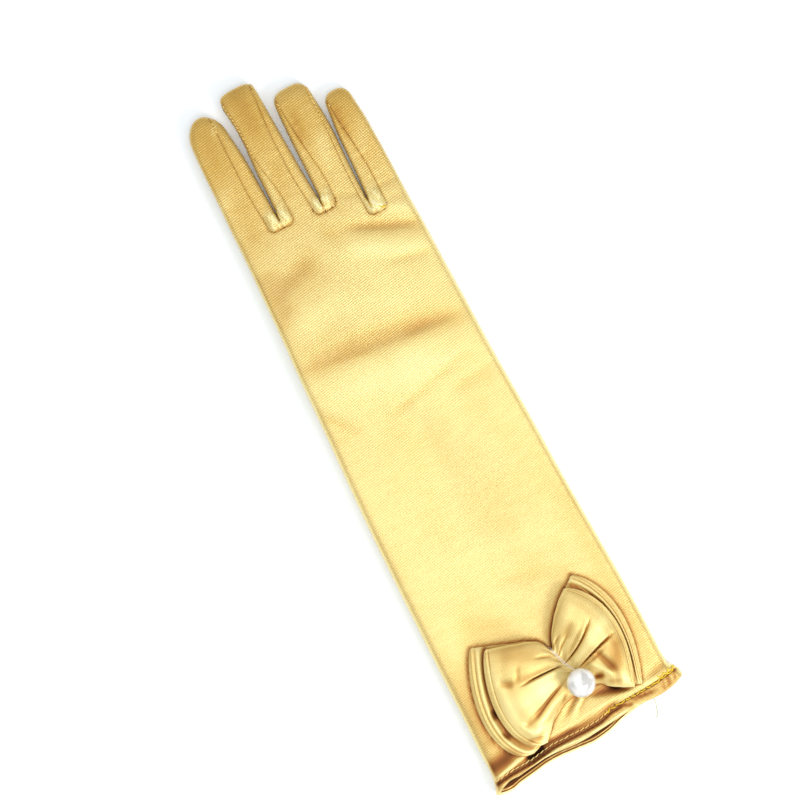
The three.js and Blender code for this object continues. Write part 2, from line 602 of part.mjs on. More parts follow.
// An upright oval cylinder round the thumb's hole
function holePrism(long, wide, low, high) {
  const geometry = new THREE.CylinderGeometry(0.5, 0.5, high - low, 20);
  geometry.rotateX(Math.PI / 2);
  geometry.scale(wide, long, 1);
  geometry.rotateZ(-thumbLean);
  geometry.translate(thumbRoot.x, thumbRoot.y, (low + high) / 2);
  return solidFromGeometry(geometry);
}

// Half widths of the thumb, in thumb widths, from behind its hole (0) to its tip (1)
const THUMB_SECTIONS = [
  { along: 0, half: 0.2 },
  { along: 0.05, half: 0.4 },
  { along: 0.15, half: 0.49 },
  { along: 0.4, half: 0.5 },
  { along: 0.65, half: 0.47 },
  { along: 0.82, half: 0.4 },
  { along: 0.92, half: 0.29 },
  { along: 0.98, half: 0.14 },
  { along: 1, half: 0.05 },
];

// A flat closed bag with the thumb's outline, inset on every side
function thumbBag(inset) {
  const net = new Net();
  const place = (x, y, z) => {
    const [sin, cos] = [Math.sin(thumbLean), Math.cos(thumbLean)];
    return [thumbRoot.x + x * cos + y * sin, thumbRoot.y + y * cos - x * sin, z];
  };
  const back = THUMB_HOLE_LENGTH / 2 + WALL;
  const columns = [0, 0.08, 0.3, 0.7, 0.92, 1];
  const last = columns.length - 1;
  const middle = THUMB_THICKNESS / 2;
  const rows = THUMB_SECTIONS.map(({ along, half }) => {
    const y = mix(inset - back, THUMB_LENGTH - inset, along);
    const reach = Math.max(WALL / 4, half * THUMB_WIDTH - inset);
    const atEnd = along === 0 || along === 1;
    const across = columns.map((share) => mix(-reach, reach, share));
    const rises = columns.map((share) => (atEnd ? 0 : (middle - inset) * palmOf(Math.abs(2 * share - 1))));
    const upper = across.map((x, c) => net.add(place(x, y, middle + rises[c])));
    const isShared = (c) => atEnd || c === 0 || c === last;
    const lower = across.map((x, c) => (isShared(c) ? upper[c] : net.add(place(x, y, middle - rises[c]))));
    return { upper, lower };
  });
  for (let r = 0; r + 1 < rows.length; r++) {
    for (let c = 0; c < last; c++) {
      const { upper, lower } = rows[r];
      const next = rows[r + 1];
      net.quad(upper[c], upper[c + 1], next.upper[c + 1], next.upper[c]);
      net.quad(lower[c], lower[c + 1], next.lower[c + 1], next.lower[c], true);
    }
  }
  return net.solid();
}

// The thumb: a flattened finger whose oval collar stands up into the hole in the palm
function thumbSolid() {
  const top = LIFT + WALL;
  const collar = holePrism(THUMB_HOLE_LENGTH, THUMB_HOLE_WIDTH, WALL / 2, top);
  const long = THUMB_HOLE_LENGTH - 2 * WALL;
  const wide = THUMB_HOLE_WIDTH - 2 * WALL;
  const way = holePrism(long, wide, THUMB_THICKNESS / 2, top + WALL);
  return thumbBag(0).add(collar).subtract(thumbBag(WALL).add(way));
}

// Height of the sleeve's back, without its dents, at a point under the bow
function backUnder(x, y) {
  const { left, right } = bodyEdges(y);
  const across = clamp01((x - left) / (right - left));
  const height = heightAt(y);
  const off = Math.min(BOW_EDGE, Math.abs(2 * across - 1));
  return height * mix(EDGE_SHARE, 1, backOfBody(off)) + Math.max(0, waveAt(across, y));
}

const waist = { x: WAIST_ACROSS, y: WAIST_UP };
const BACK_BOW = {
  width: BACK_BOW_WIDTH,
  height: BACK_BOW_HEIGHT,
  thickness: BACK_BOW_THICKNESS,
  ribs: BACK_RIBS,
  columns: BACK_BOW_COLUMNS,
  creases: [],
  under: null,
};
const FRONT_BOW = {
  width: FRONT_BOW_WIDTH,
  height: FRONT_BOW_HEIGHT,
  thickness: FRONT_BOW_THICKNESS,
  ribs: FRONT_RIBS,
  columns: FRONT_BOW_COLUMNS,
  creases: BOW_CREASES,
  under: BACK_BOW,
};

// How thick a bow is at a rib
const bowThickness = (bow, along) =>
  mix(WAIST_THICKNESS, bow.thickness, read(bow.ribs, "along", "full", along));

// How far a bow's lower cloth lies above the sleeve, on the bow under it if there is one
const bowRaise = (bow, along) =>
  REST_GAP + (bow.under ? REST_GAP + bowThickness(bow.under, along) : 0);

// Plan position of a bow's cloth: along its length and across a rib
function bowPlan(bow, along, across) {
  const at = (column) => read(bow.ribs, "along", column, along);
  const top = new THREE.Vector2(at("topX") * bow.width, at("topY") * bow.height);
  const bottom = new THREE.Vector2(at("bottomX") * bow.width, at("bottomY") * bow.height);
  const rib = bottom.clone().sub(top);
  const out = new THREE.Vector2(-rib.y, rib.x).normalize().multiplyScalar(Math.sign(along));
  const sunk = across ** at("sag");
  const arc = (4 * sunk * (1 - sunk)) ** at("curve") * at("bulge") * bow.width;
  const point = top.addScaledVector(rib, across).addScaledVector(out, arc);
  return { x: waist.x + point.x, y: waist.y + point.y };
}

// How far the creases lower the cloth, as a share of the bow's thickness
function creasesAt(bow, along, across) {
  let depth = 0;
  for (const crease of bow.creases.filter(({ side }) => side * along > 0)) {
    const out = Math.abs(along) / crease.reach;
    const off = (across - mix(crease.near, crease.far, Math.abs(along))) / crease.wide;
    depth += crease.deep * Math.exp(-(off ** 2) - out ** 4) * smooth(Math.abs(along) / CREASE_START);
  }
  return depth;
}

// A point of a bow. layer: 1 is its upper cloth, -1 the lower
function bowPoint(bow, layer, along, across, inset) {
  const { x, y } = bowPlan(bow, along, mix(inset / bow.height, 1 - inset / bow.height, across));
  const half = WAIST_THICKNESS / 2;
  const middle = backUnder(x, y) + bowRaise(bow, along) + half;
  const off = Math.abs(2 * across - 1);
  if (layer < 0) return [x, y, middle - (half - inset) * palmOf(off)];
  const thickness = bowThickness(bow, along);
  const rise = Math.max(half, thickness * (1 - creasesAt(bow, along, across)) - half);
  return [x, y, middle + (rise - inset) * backOfBody(off)];
}

// A bow: a wide sleeve of cloth, gathered at its waist and open at both ends
function bowSolid(bow) {
  const net = new Net();
  const last = bow.columns.length - 1;
  const skin = (inset) =>
    BOW_ROWS.map((along) => {
      const upper = bow.columns.map((across) => net.add(bowPoint(bow, 1, along, across, inset)));
      const isShared = (c) => c === 0 || c === last;
      const lower = bow.columns.map((across, c) =>
        isShared(c) ? upper[c] : net.add(bowPoint(bow, -1, along, across, inset)),
      );
      return { upper, lower };
    });
  const outer = skin(0);
  const inner = skin(WALL);
  for (const [rows, flip] of [[outer, false], [inner, true]]) {
    for (let r = 0; r + 1 < rows.length; r++) {
      const { upper, lower } = rows[r];
      const next = rows[r + 1];
      for (let c = 0; c < last; c++) {
        net.quad(upper[c], upper[c + 1], next.upper[c + 1], next.upper[c], flip);
        net.quad(lower[c], lower[c + 1], next.lower[c + 1], next.lower[c], !flip);
      }
    }
  }
  for (const [end, flip] of [[0, true], [BOW_ROWS.length - 1, false]]) {
    for (let c = 0; c < last; c++) {
      const out = outer[end];
      const into = inner[end];
      net.quad(out.upper[c], out.upper[c + 1], into.upper[c + 1], into.upper[c], flip);
      net.quad(out.lower[c], out.lower[c + 1], into.lower[c + 1], into.lower[c], !flip);
    }
  }
  return net.solid();
}

// The bead, drilled for the thread that holds it on the waist
function beadSolid() {
  const ball = solidFromGeometry(new THREE.SphereGeometry(BEAD_DIAMETER / 2, 16, 10));
  const drill = new THREE.CylinderGeometry(BEAD_HOLE / 2, BEAD_HOLE / 2, 2 * BEAD_DIAMETER, 8);
  return ball.subtract(solidFromGeometry(drill));
}

// Where the bead rests on the front bow: over the lower half of its waist
function beadPlace() {
  const x = BEAD_ACROSS;
  const y = BEAD_UP;
  const seat = backUnder(x, y) + bowRaise(FRONT_BOW, 0) + WAIST_THICKNESS;
  return new THREE.Vector3(x, y, seat + REST_GAP + BEAD_DIAMETER / 2);
}

const satin = (name) => {
  const material = new THREE.MeshStandardMaterial({ color: 0xe8c678, roughness: 0.38, metalness: 0 });
  material.name = name;
  return material;
};
const pearl = new THREE.MeshStandardMaterial({ color: 0xf1edea, roughness: 0.18, metalness: 0 });
pearl.name = "pearl";

const glove = new THREE.Group();
function addPiece(name, solid, material) {
  const piece = new THREE.Mesh(geometryOf(solid), material);
  piece.name = name;
  glove.add(piece);
  return piece;
}

const shell = gloveShell();
const margin = SEAM_GAP / 2;
const hole = holePrism(
  THUMB_HOLE_LENGTH + 2 * SEAM_GAP,
  THUMB_HOLE_WIDTH + 2 * SEAM_GAP,
  0,
  LIFT + 2 * WALL,
);
let body = shell.subtract(hole);
FOURCHETTES.forEach(({ name }, f) => {
  body = body.subtract(stripPrism(f, margin));
  addPiece(name, shell.intersect(stripPrism(f, -margin)), satin(name));
});
addPiece("glove_body", body, satin("glove_body"));
addPiece("thumb", thumbSolid(), satin("thumb"));
addPiece("bow_back", bowSolid(BACK_BOW), satin("bow_back"));
addPiece("bow_front", bowSolid(FRONT_BOW), satin("bow_front"));
addPiece("pearl_bead", beadSolid(), pearl).position.copy(beadPlace());

// The frame's origin is at the middle of the glove's outline, on the table
glove.updateMatrixWorld(true);
const bounds = new THREE.Box3().setFromObject(glove);
const centre = bounds.getCenter(new THREE.Vector3());
glove.position.set(-centre.x, -centre.y, -bounds.min.z);

export default glove;
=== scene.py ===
# %% [markdown]
# A child's long dress glove in gold satin lies on a pale table with its back up. A double bow of the
# same satin is sewn on near the open cuff, with a pearl bead on its waist. This lesson makes its
# finished look, piece by piece, around solids of the true size that are loaded first.

# %% Load the solids and keep their box
import math
import bmesh
import bpy
import numpy as np
from mathutils import Euler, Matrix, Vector
from mathutils.bvhtree import BVHTree


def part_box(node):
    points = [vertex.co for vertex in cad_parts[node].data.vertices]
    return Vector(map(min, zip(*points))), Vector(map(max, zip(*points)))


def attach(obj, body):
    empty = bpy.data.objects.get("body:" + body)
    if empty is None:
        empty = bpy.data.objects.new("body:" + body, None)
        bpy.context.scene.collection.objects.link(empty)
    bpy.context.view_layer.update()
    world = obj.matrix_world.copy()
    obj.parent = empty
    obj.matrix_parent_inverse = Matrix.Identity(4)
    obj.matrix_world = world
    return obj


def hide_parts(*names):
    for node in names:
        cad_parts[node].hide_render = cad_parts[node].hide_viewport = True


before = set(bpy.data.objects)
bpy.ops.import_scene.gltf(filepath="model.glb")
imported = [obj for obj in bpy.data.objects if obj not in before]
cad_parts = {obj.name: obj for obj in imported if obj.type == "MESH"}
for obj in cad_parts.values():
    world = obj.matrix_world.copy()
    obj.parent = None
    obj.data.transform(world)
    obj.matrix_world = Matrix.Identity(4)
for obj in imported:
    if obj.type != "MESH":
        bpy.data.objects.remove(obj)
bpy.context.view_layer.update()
MM = 0.001

# %% [markdown]
# The glove is easiest to describe in its own plan: x across it from its middle line, y up from the
# line of its mouth to the fingertips, in metres. The longest fingertip and the box of the body's
# solid tie that plan to the shared frame.

# %% Sizes of the glove
BODY_LENGTH = 246 * MM  # mouth to the crotch between the middle and ring fingers
CUFF_WIDTH = 86 * MM
ARM_HEIGHT = 10.6 * MM
FINGER_HEIGHT = 7.4 * MM
KNUCKLE_VALLEY = 13 * MM
HEM_WIDTH = 4.5 * MM
INDEX_CROTCH_RISE = 3 * MM
LITTLE_CROTCH_DROP = 8 * MM
THUMB_LENGTH = 43 * MM
THUMB_WIDTH = 17 * MM
THUMB_THICKNESS = 2.6 * MM
THUMB_HOLE_LENGTH = 19 * MM
THUMB_HOLE_WIDTH = 12 * MM
THUMB_BELOW_CROTCH = 53 * MM
THUMB_FROM_EDGE = 15 * MM
THUMB_LEAN = math.radians(10)
REST_GAP = 0.3 * MM
LIFT = THUMB_THICKNESS + REST_GAP  # how far the thumb holds the hand off the table
EDGE_SHARE = 0.42  # height of the folded edge, as a share of the glove's thickness
TIP_DROOP = 0.4
CLOTH = 0.7 * MM  # one layer of satin as it is drawn here

body_low, body_high = [Vector(corner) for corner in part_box("glove_body")]
LONGEST_TIP = 303 * MM
ORIGIN = Vector(((body_low.x + body_high.x) / 2 + 0.267 * MM, body_high.y - LONGEST_TIP, body_low.z))
print("the plan's origin in the frame", [round(v, 5) for v in ORIGIN])

# %% [markdown]
# Cloth shapes here follow short tables of sections. A table is read with a smooth curve through its
# rows, and all the maths works on whole arrays of points at once, so that thousands of points of
# cloth take one line each.

# %% Reading a table, and soft steps
def mix(a, b, t):
    return a + (b - a) * t


def smooth(t):
    t = np.clip(t, 0, 1)
    return t * t * (3 - 2 * t)


def bump(distance, reach):
    return np.exp(-((distance / reach) ** 2))


def read(rows, column, at, key="along"):
    """The value of a column where the key column is at, on a smooth curve through the rows."""
    keys = np.array([row[key] for row in rows], float)
    values = np.array([row[column] for row in rows], float)
    slope = np.diff(values) / np.diff(keys)
    before = np.r_[slope[0], (slope[:-1] + slope[1:]) / 2]
    after = np.r_[(slope[:-1] + slope[1:]) / 2, slope[-1]]
    at = np.clip(at, keys[0], keys[-1])
    i = np.clip(np.searchsorted(keys, at, side="right") - 1, 0, len(keys) - 2)
    step = keys[i + 1] - keys[i]
    t = (at - keys[i]) / step
    start = values[i] + t * step * before[i]
    end = values[i + 1] - (1 - t) * step * after[i]
    return mix(start, end, smooth(t))


# %% Tables of the body
BODY_SECTIONS = [
    dict(along=-0.018, flare=1.34, shift=-0.003, puff=1.0, lift=0.0),
    dict(along=0.0, flare=1.26, shift=0.0105, puff=1.0, lift=0.0),
    dict(along=0.018, flare=1.21, shift=0.015, puff=1.0, lift=0.0),
    dict(along=0.036, flare=1.08, shift=0.0035, puff=1.0, lift=0.0),
    dict(along=0.043, flare=0.97, shift=-0.009, puff=1.0, lift=0.0),
    dict(along=0.05, flare=0.96, shift=-0.01, puff=1.0, lift=0.0),
    dict(along=0.1, flare=0.93, shift=-0.007, puff=1.0, lift=0.0),
    dict(along=0.18, flare=0.9, shift=-0.004, puff=1.0, lift=0.0),
    dict(along=0.285, flare=0.81, shift=-0.005, puff=1.0, lift=0.0),
    dict(along=0.41, flare=0.69, shift=-0.005, puff=1.0, lift=0.0),
    dict(along=0.53, flare=0.57, shift=0.001, puff=1.0, lift=0.0),
    dict(along=0.62, flare=0.43, shift=0.006, puff=0.95, lift=0.15),
    dict(along=0.7, flare=0.34, shift=0.012, puff=0.78, lift=0.75),
    dict(along=0.74, flare=0.3, shift=0.015, puff=0.65, lift=1.0),
    dict(along=0.81, flare=0.2, shift=0.022, puff=0.5, lift=1.0),
    dict(along=0.89, flare=0.12, shift=0.029, puff=0.38, lift=1.0),
    dict(along=0.95, flare=0.04, shift=0.032, puff=0.2, lift=1.0),
    dict(along=1.0, flare=0.0, shift=0.035, puff=0.0, lift=1.0),
]
MOUTH_EDGE = [
    dict(across=0.0, back=-0.058, palm=-0.058, wave=0.0),
    dict(across=0.03, back=-0.031, palm=-0.071, wave=0.0),
    dict(across=0.12, back=-0.0155, palm=-0.062, wave=0.002),
    dict(across=0.2, back=-0.005, palm=-0.05, wave=0.004),
    dict(across=0.28, back=0.002, palm=-0.04, wave=0.005),
    dict(across=0.42, back=-0.009, palm=-0.047, wave=-0.002),
    dict(across=0.55, back=-0.002, palm=-0.05, wave=0.004),
    dict(across=0.66, back=0.008, palm=-0.022, wave=0.0),
    dict(across=0.78, back=0.014, palm=0.002, wave=0.003),
    dict(across=0.9, back=0.014, palm=0.011, wave=0.001),
    dict(across=1.0, back=0.043, palm=0.043, wave=0.0),
]
FINGERS = [
    dict(width=19.9 * MM, length=50 * MM, squareness=2, sides=[
        dict(along=0, left=-0.5, right=0.5),
        dict(along=0.26, left=-0.47, right=0.482),
        dict(along=0.46, left=-0.45, right=0.472),
        dict(along=0.62, left=-0.435, right=0.45),
        dict(along=0.76, left=-0.415, right=0.415),
    ]),
    dict(width=18.5 * MM, length=55.5 * MM, squareness=3.6, sides=[
        dict(along=0, left=-0.5, right=0.5),
        dict(along=0.19, left=-0.472, right=0.465),
        dict(along=0.37, left=-0.46, right=0.446),
        dict(along=0.5, left=-0.432, right=0.435),
        dict(along=0.64, left=-0.411, right=0.422),
        dict(along=0.78, left=-0.427, right=0.411),
        dict(along=0.89, left=-0.46, right=0.405),
    ]),
    dict(width=17.6 * MM, length=51.4 * MM, squareness=3.4, sides=[
        dict(along=0, left=-0.5, right=0.5),
        dict(along=0.27, left=-0.466, right=0.518),
        dict(along=0.47, left=-0.455, right=0.545),
        dict(along=0.62, left=-0.443, right=0.548),
        dict(along=0.8, left=-0.42, right=0.517),
    ]),
    dict(width=15.6 * MM, length=45.5 * MM, squareness=2.8, sides=[
        dict(along=0, left=-0.5, right=0.5),
        dict(along=0.26, left=-0.445, right=0.5),
        dict(along=0.48, left=-0.415, right=0.487),
        dict(along=0.66, left=-0.385, right=0.474),
        dict(along=0.81, left=-0.333, right=0.436),
    ]),
]
PALM_WIDTH = sum(finger["width"] for finger in FINGERS)

# %% [markdown]
# The folds are what makes satin look like satin: its gloss turns each shallow dent and swell into a
# dark or a bright patch. They could be sculpted or simulated, but a table of soft dents, each an oval
# with a place, a turn and a depth, keeps every fold where the real one lies. Each fold's tone also
# paints the shade or highlight of that patch into the cloth's colour.

# %% Folds of the back of the hand and the sleeve
# Places and lengths in mm of the plan. deep lowers the cloth, tone paints shade on it and below zero a
# painted highlight, and turn is in degrees. Where deep is 0 the fold is painted light only.
BODY_FOLDS = [
    dict(name="wrist crease", x=-6, y=186, turn=-6, long=33, wide=5.8, deep=0.6, tone=0.42),
    dict(name="wrist crease, core", x=-1, y=182, turn=-7, long=35, wide=2.6, deep=0.25, tone=0.2),
    dict(name="wrist crease, right", x=23, y=179.8, turn=-10, long=13, wide=4, deep=0.3, tone=0.3),
    dict(name="right side", x=37.5, y=46, turn=89, long=52, wide=7, deep=0, tone=0.3),
    dict(name="index root", x=-29, y=240, turn=20, long=10, wide=6, deep=0.1, tone=0.15),
    dict(name="little root", x=32, y=246, turn=90, long=12, wide=5, deep=0.1, tone=0.2),
    dict(name="left knuckle shade", x=-33, y=227, turn=12, long=9, wide=5, deep=0.2, tone=0.32),
    dict(name="index shade", x=-25, y=284, turn=80, long=13, wide=5, deep=0.1, tone=0.30),
    dict(name="index light", x=-31, y=263, turn=60, long=7, wide=3.5, deep=-0.2, tone=-0.3),
    dict(name="index tip", x=-19.6, y=292, turn=60, long=3, wide=1.2, deep=-0.3, tone=-0.6),
    dict(name="middle shade", x=-5, y=291, turn=88, long=12, wide=5.4, deep=0.1, tone=0.42),
    dict(name="strip light", x=-10, y=261, turn=80, long=9, wide=1.6, deep=-0.1, tone=-0.3),
    dict(name="middle low shade", x=-5, y=262, turn=85, long=9, wide=3, deep=0.15, tone=0.18),
    dict(name="ring shade", x=11.5, y=277, turn=80, long=9, wide=3, deep=0.2, tone=0.45),
    dict(name="ring light", x=16.5, y=264, turn=75, long=8, wide=3, deep=-0.2, tone=-0.4),
    dict(name="little light", x=33, y=262, turn=70, long=8, wide=3, deep=-0.2, tone=-0.3),
    dict(name="little shade", x=28, y=271, turn=86, long=8, wide=2, deep=0.1, tone=0.38),
    dict(name="little finger", x=31.5, y=268, turn=88, long=16, wide=5, deep=0, tone=0.25),
    dict(name="index low shade", x=-26, y=250, turn=80, long=9, wide=5, deep=0, tone=0.25),
    dict(name="above the wrist", x=0, y=170, turn=-8, long=38, wide=7, deep=-0.35, tone=-0.35),
    dict(name="hand's middle", x=0, y=200, turn=-8, long=34, wide=6, deep=-0.15, tone=-0.2),
    dict(name="little knuckle", x=23, y=224.5, turn=-24, long=16, wide=2.8, deep=0.6, tone=0.62),
    dict(name="above it", x=29, y=230.5, turn=-30, long=11, wide=2.6, deep=-0.3, tone=-0.35),
    dict(name="below it", x=20, y=216.5, turn=-25, long=18, wide=4, deep=-0.4, tone=-0.45),
    dict(name="ring streak", x=27, y=208.5, turn=-14, long=10, wide=1.8, deep=0.3, tone=0.25),
    dict(name="index knuckle", x=-21, y=222, turn=18, long=15, wide=6.5, deep=0.6, tone=0.5),
    dict(name="index edge", x=-33, y=207, turn=38, long=10, wide=5, deep=0.3, tone=0.45),
    dict(name="below index", x=-20, y=206, turn=12, long=16, wide=5, deep=-0.3, tone=-0.2),
    dict(name="middle knuckle", x=2, y=232, turn=-60, long=9, wide=3.5, deep=0.25, tone=0.25),
    dict(name="long streak", x=10, y=158.5, turn=13, long=19, wide=1.7, deep=0.35, tone=0.3),
    dict(name="streak beside it", x=26, y=152, turn=4, long=11, wide=1.9, deep=0.3, tone=0.26),
    dict(name="left streak", x=-31, y=161, turn=-50, long=8, wide=1.8, deep=0.3, tone=0.3),
    dict(name="above the bow", x=8, y=70, turn=-18, long=13, wide=3, deep=0.35, tone=0.2),
    dict(name="left of the bow", x=-18, y=60, turn=-31, long=10, wide=4, deep=0.45, tone=0.3),
    dict(name="arm swell", x=2, y=88, turn=-10, long=26, wide=7, deep=-0.3, tone=-0.12),
    dict(name="beside the bow", x=-39, y=32, turn=88, long=24, wide=4, deep=0, tone=0.3),
    dict(name="left corner", x=-38, y=7.0, turn=8, long=6.5, wide=3.4, deep=0.9, tone=1.6),
    dict(name="left corner ridge", x=-36.6, y=3.2, turn=13, long=7.6, wide=0.8, deep=-0.5, tone=-1.9),
    dict(name="left corner swell", x=-40, y=14, turn=20, long=7, wide=3, deep=-0.4, tone=0.1),
    dict(name="hollow under the bow", x=-23.4, y=3.9, turn=8, long=4.4, wide=1.4, deep=0.8, tone=2.1),
    dict(name="beside the hollow", x=-13, y=5.6, turn=0, long=9, wide=1.0, deep=0.5, tone=0.8),
    dict(name="pull fold", x=0, y=15, turn=34, long=7, wide=1.0, deep=0.7, tone=0.7),
    dict(name="pull fold", x=4, y=13.6, turn=36, long=6, wide=0.8, deep=0.6, tone=0.55),
    dict(name="pull ridge", x=2, y=13.6, turn=35, long=7, wide=0.8, deep=-0.5, tone=-0.3),
    dict(name="crescent", x=14.6, y=12.7, turn=-16, long=7, wide=1.7, deep=1.0, tone=1.5),
    dict(name="under the right loop", x=19, y=11.8, turn=-34, long=6, wide=1.0, deep=0.6, tone=0.6),
    dict(name="long ridge", x=20, y=8.4, turn=0, long=17, wide=1.2, deep=-0.45, tone=-0.3),
    dict(name="above the hem", x=4, y=6.4, turn=7, long=16, wide=1.1, deep=0.35, tone=0.55),
    dict(name="right corner", x=38, y=11.5, turn=12, long=6, wide=2, deep=0.5, tone=0.4),
    dict(name="end of the roll", x=19.6, y=3.6, turn=-24, long=3.6, wide=0.7, deep=0.3, tone=1.1),
    dict(name="roll's tip", x=22.6, y=1.9, turn=-30, long=1.8, wide=0.7, deep=-0.4, tone=-1.6),
    dict(name="beside the roll", x=27, y=4.2, turn=-6, long=5, wide=0.9, deep=0.3, tone=0.9),
    dict(name="small pleat", x=38.8, y=4.4, turn=78, long=2.4, wide=0.6, deep=0.3, tone=0.8),
    dict(name="small pleat", x=36.2, y=4, turn=84, long=2.2, wide=0.5, deep=0.3, tone=0.5),
    dict(name="corner pleat", x=42.2, y=5.6, turn=70, long=2, wide=0.5, deep=0.2, tone=0.6),
]


def folds_at(x, y, column="deep", folds=BODY_FOLDS):
    """How far the folds lower the cloth in metres, or how much shade they paint on it, below zero a painted highlight.
    """
    total = np.zeros(np.broadcast(x, y).shape)
    for fold in folds:
        turn = math.radians(fold["turn"])
        dx = x / MM - fold["x"]
        dy = y / MM - fold["y"]
        run = (dx * math.cos(turn) + dy * math.sin(turn)) / fold["long"]
        side = (dy * math.cos(turn) - dx * math.sin(turn)) / fold["wide"]
        total += fold[column] * np.exp(-(run**4) - side**2)
    return total * MM if column == "deep" else total


# %% Outline and height of the body and the fingers
def body_edges(y):
    along = y / BODY_LENGTH
    width = PALM_WIDTH + (CUFF_WIDTH - PALM_WIDTH) * read(BODY_SECTIONS, "flare", along)
    middle = PALM_WIDTH * read(BODY_SECTIONS, "shift", along)
    return middle - width / 2, middle + width / 2


def lift_at(y):
    return LIFT * np.maximum(0, read(BODY_SECTIONS, "lift", y / BODY_LENGTH))


def height_at(y):
    return mix(FINGER_HEIGHT, ARM_HEIGHT, read(BODY_SECTIONS, "puff", y / BODY_LENGTH))


def back_of_body(off):
    return np.sqrt(1 - np.minimum(1, off) ** 50)


def back_of_finger(off):
    return np.sqrt(1 - np.minimum(1, off) ** 18)


def palm_of(off):
    return np.minimum(1, 1.08 * np.sqrt(1 - np.minimum(1, off) ** 8))


HAND_LEFT = float(body_edges(BODY_LENGTH)[0])
KNUCKLE_X = HAND_LEFT + np.r_[0, np.cumsum([finger["width"] for finger in FINGERS])]
KNUCKLE_Y = BODY_LENGTH + np.array(
    [INDEX_CROTCH_RISE, INDEX_CROTCH_RISE, 0, -LITTLE_CROTCH_DROP, -LITTLE_CROTCH_DROP]
)
thumb_y = BODY_LENGTH - THUMB_BELOW_CROTCH
thumb_x = float(body_edges(thumb_y)[0]) + THUMB_FROM_EDGE
thumb_reach = thumb_x + THUMB_LENGTH * math.sin(THUMB_LEAN) + THUMB_WIDTH / 2
thumb_share = (thumb_reach - HAND_LEFT) / PALM_WIDTH


def slope_at(across):
    """The thumb lifts the hand as far across as it reaches, and beyond it the hand slopes down."""
    return np.clip((1 - across) / (1 - thumb_share), 0, 1)


def wave_at(across, y):
    fade = 1 - smooth(y / (4 * HEM_WIDTH))
    return CUFF_WIDTH * read(MOUTH_EDGE, "wave", across, key="across") * fade


def finger_edges(f, y):
    finger = FINGERS[f]
    root_x = (KNUCKLE_X[f] + KNUCKLE_X[f + 1]) / 2
    root_y = (KNUCKLE_Y[f] + KNUCKLE_Y[f + 1]) / 2
    along = (y - root_y) / finger["length"]
    left = root_x + finger["width"] * read(finger["sides"], "left", along)
    right = root_x + finger["width"] * read(finger["sides"], "right", along)
    shoulder = root_y + finger["length"] * finger["sides"][-1]["along"]
    return left, right, shoulder, root_y + finger["length"], along


# %% [markdown]
# The glove is one piece of cloth folded round the hand, so its net is two layers, back and palm, that
# share their outline. Rows run across from the turned hem at the mouth to the crotches. There the
# net parts into four narrow ones that close at the fingertips. A Solidify modifier then gives the
# cloth its thickness.

# %% Points of the body's cloth
PER_FINGER = 24
LAST_COLUMN = PER_FINGER * len(FINGERS)
WITHIN = (1 - np.cos(np.linspace(0, 1, PER_FINGER + 1) * math.pi)) / 2 * 0.35
WITHIN += 0.65 * np.linspace(0, 1, PER_FINGER + 1)
column = np.arange(LAST_COLUMN + 1)
column_finger = np.minimum(len(FINGERS) - 1, column // PER_FINGER)
column_within = WITHIN[column - column_finger * PER_FINGER]
column_x = mix(KNUCKLE_X[column_finger], KNUCKLE_X[column_finger + 1], column_within)
column_across = (column_x - HAND_LEFT) / PALM_WIDTH
column_top = mix(KNUCKLE_Y[column_finger], KNUCKLE_Y[column_finger + 1], column_within)

HEM_TURN = 1.5 * MM  # depth of the turned edge inside the mouth
half_turn = np.linspace(0, math.pi, 7)
HEM_INSIDE = np.array([HEM_WIDTH, 2.2 * MM, 1.75 * MM, 1.3 * MM, 1.05 * MM])
hem_inset = np.r_[HEM_TURN + 0 * HEM_INSIDE, HEM_TURN / 2 * (1 + np.cos(half_turn))]
hem_up = np.r_[HEM_INSIDE, HEM_TURN / 2 * (1 - np.sin(half_turn))]
sleeve_up = np.r_[
    np.arange(1.0, 9.2, 0.3), np.arange(9.6, 62, 1.15), np.arange(62.5, 172, 2.1), np.arange(173, 244.5, 1.1)
] * MM
row_inset = np.r_[hem_inset, np.zeros(len(sleeve_up) + 1)]
row_share = np.r_[hem_up, sleeve_up, BODY_LENGTH] / BODY_LENGTH


def body_points(layer):
    """All rows and columns of one layer: 1 is the back of the hand, -1 the palm."""
    inset = row_inset[:, None]
    share = row_share[:, None]
    mouth = CUFF_WIDTH * read(MOUTH_EDGE, "back" if layer > 0 else "palm", column_across, key="across")
    y = mix(mouth[None, :], column_top[None, :], share)
    left, right = body_edges(y)
    across = column_across[None, :]
    x = mix(left + inset, right - inset, across)
    floor = lift_at(y) * slope_at(across)
    height = height_at(y)
    edge = EDGE_SHARE * height
    off = np.abs(2 * across - 1)
    off_finger = np.abs(2 * column_within[None, :] - 1)
    valley = smooth((y - column_top[None, :] + KNUCKLE_VALLEY) / KNUCKLE_VALLEY) ** (6 if layer > 0 else 2)
    if layer < 0:
        flat = mix(palm_of(off), palm_of(off_finger), valley)
        z = floor + edge - (edge - inset) * flat
    else:
        dome = mix(back_of_body(off), back_of_finger(off_finger), valley)
        rise = height - edge - inset - folds_at(x, y) + wave_at(across, y)
        z = floor + edge + rise * dome
    return np.stack([x, y, z], axis=-1)


FINGER_ROWS = 50


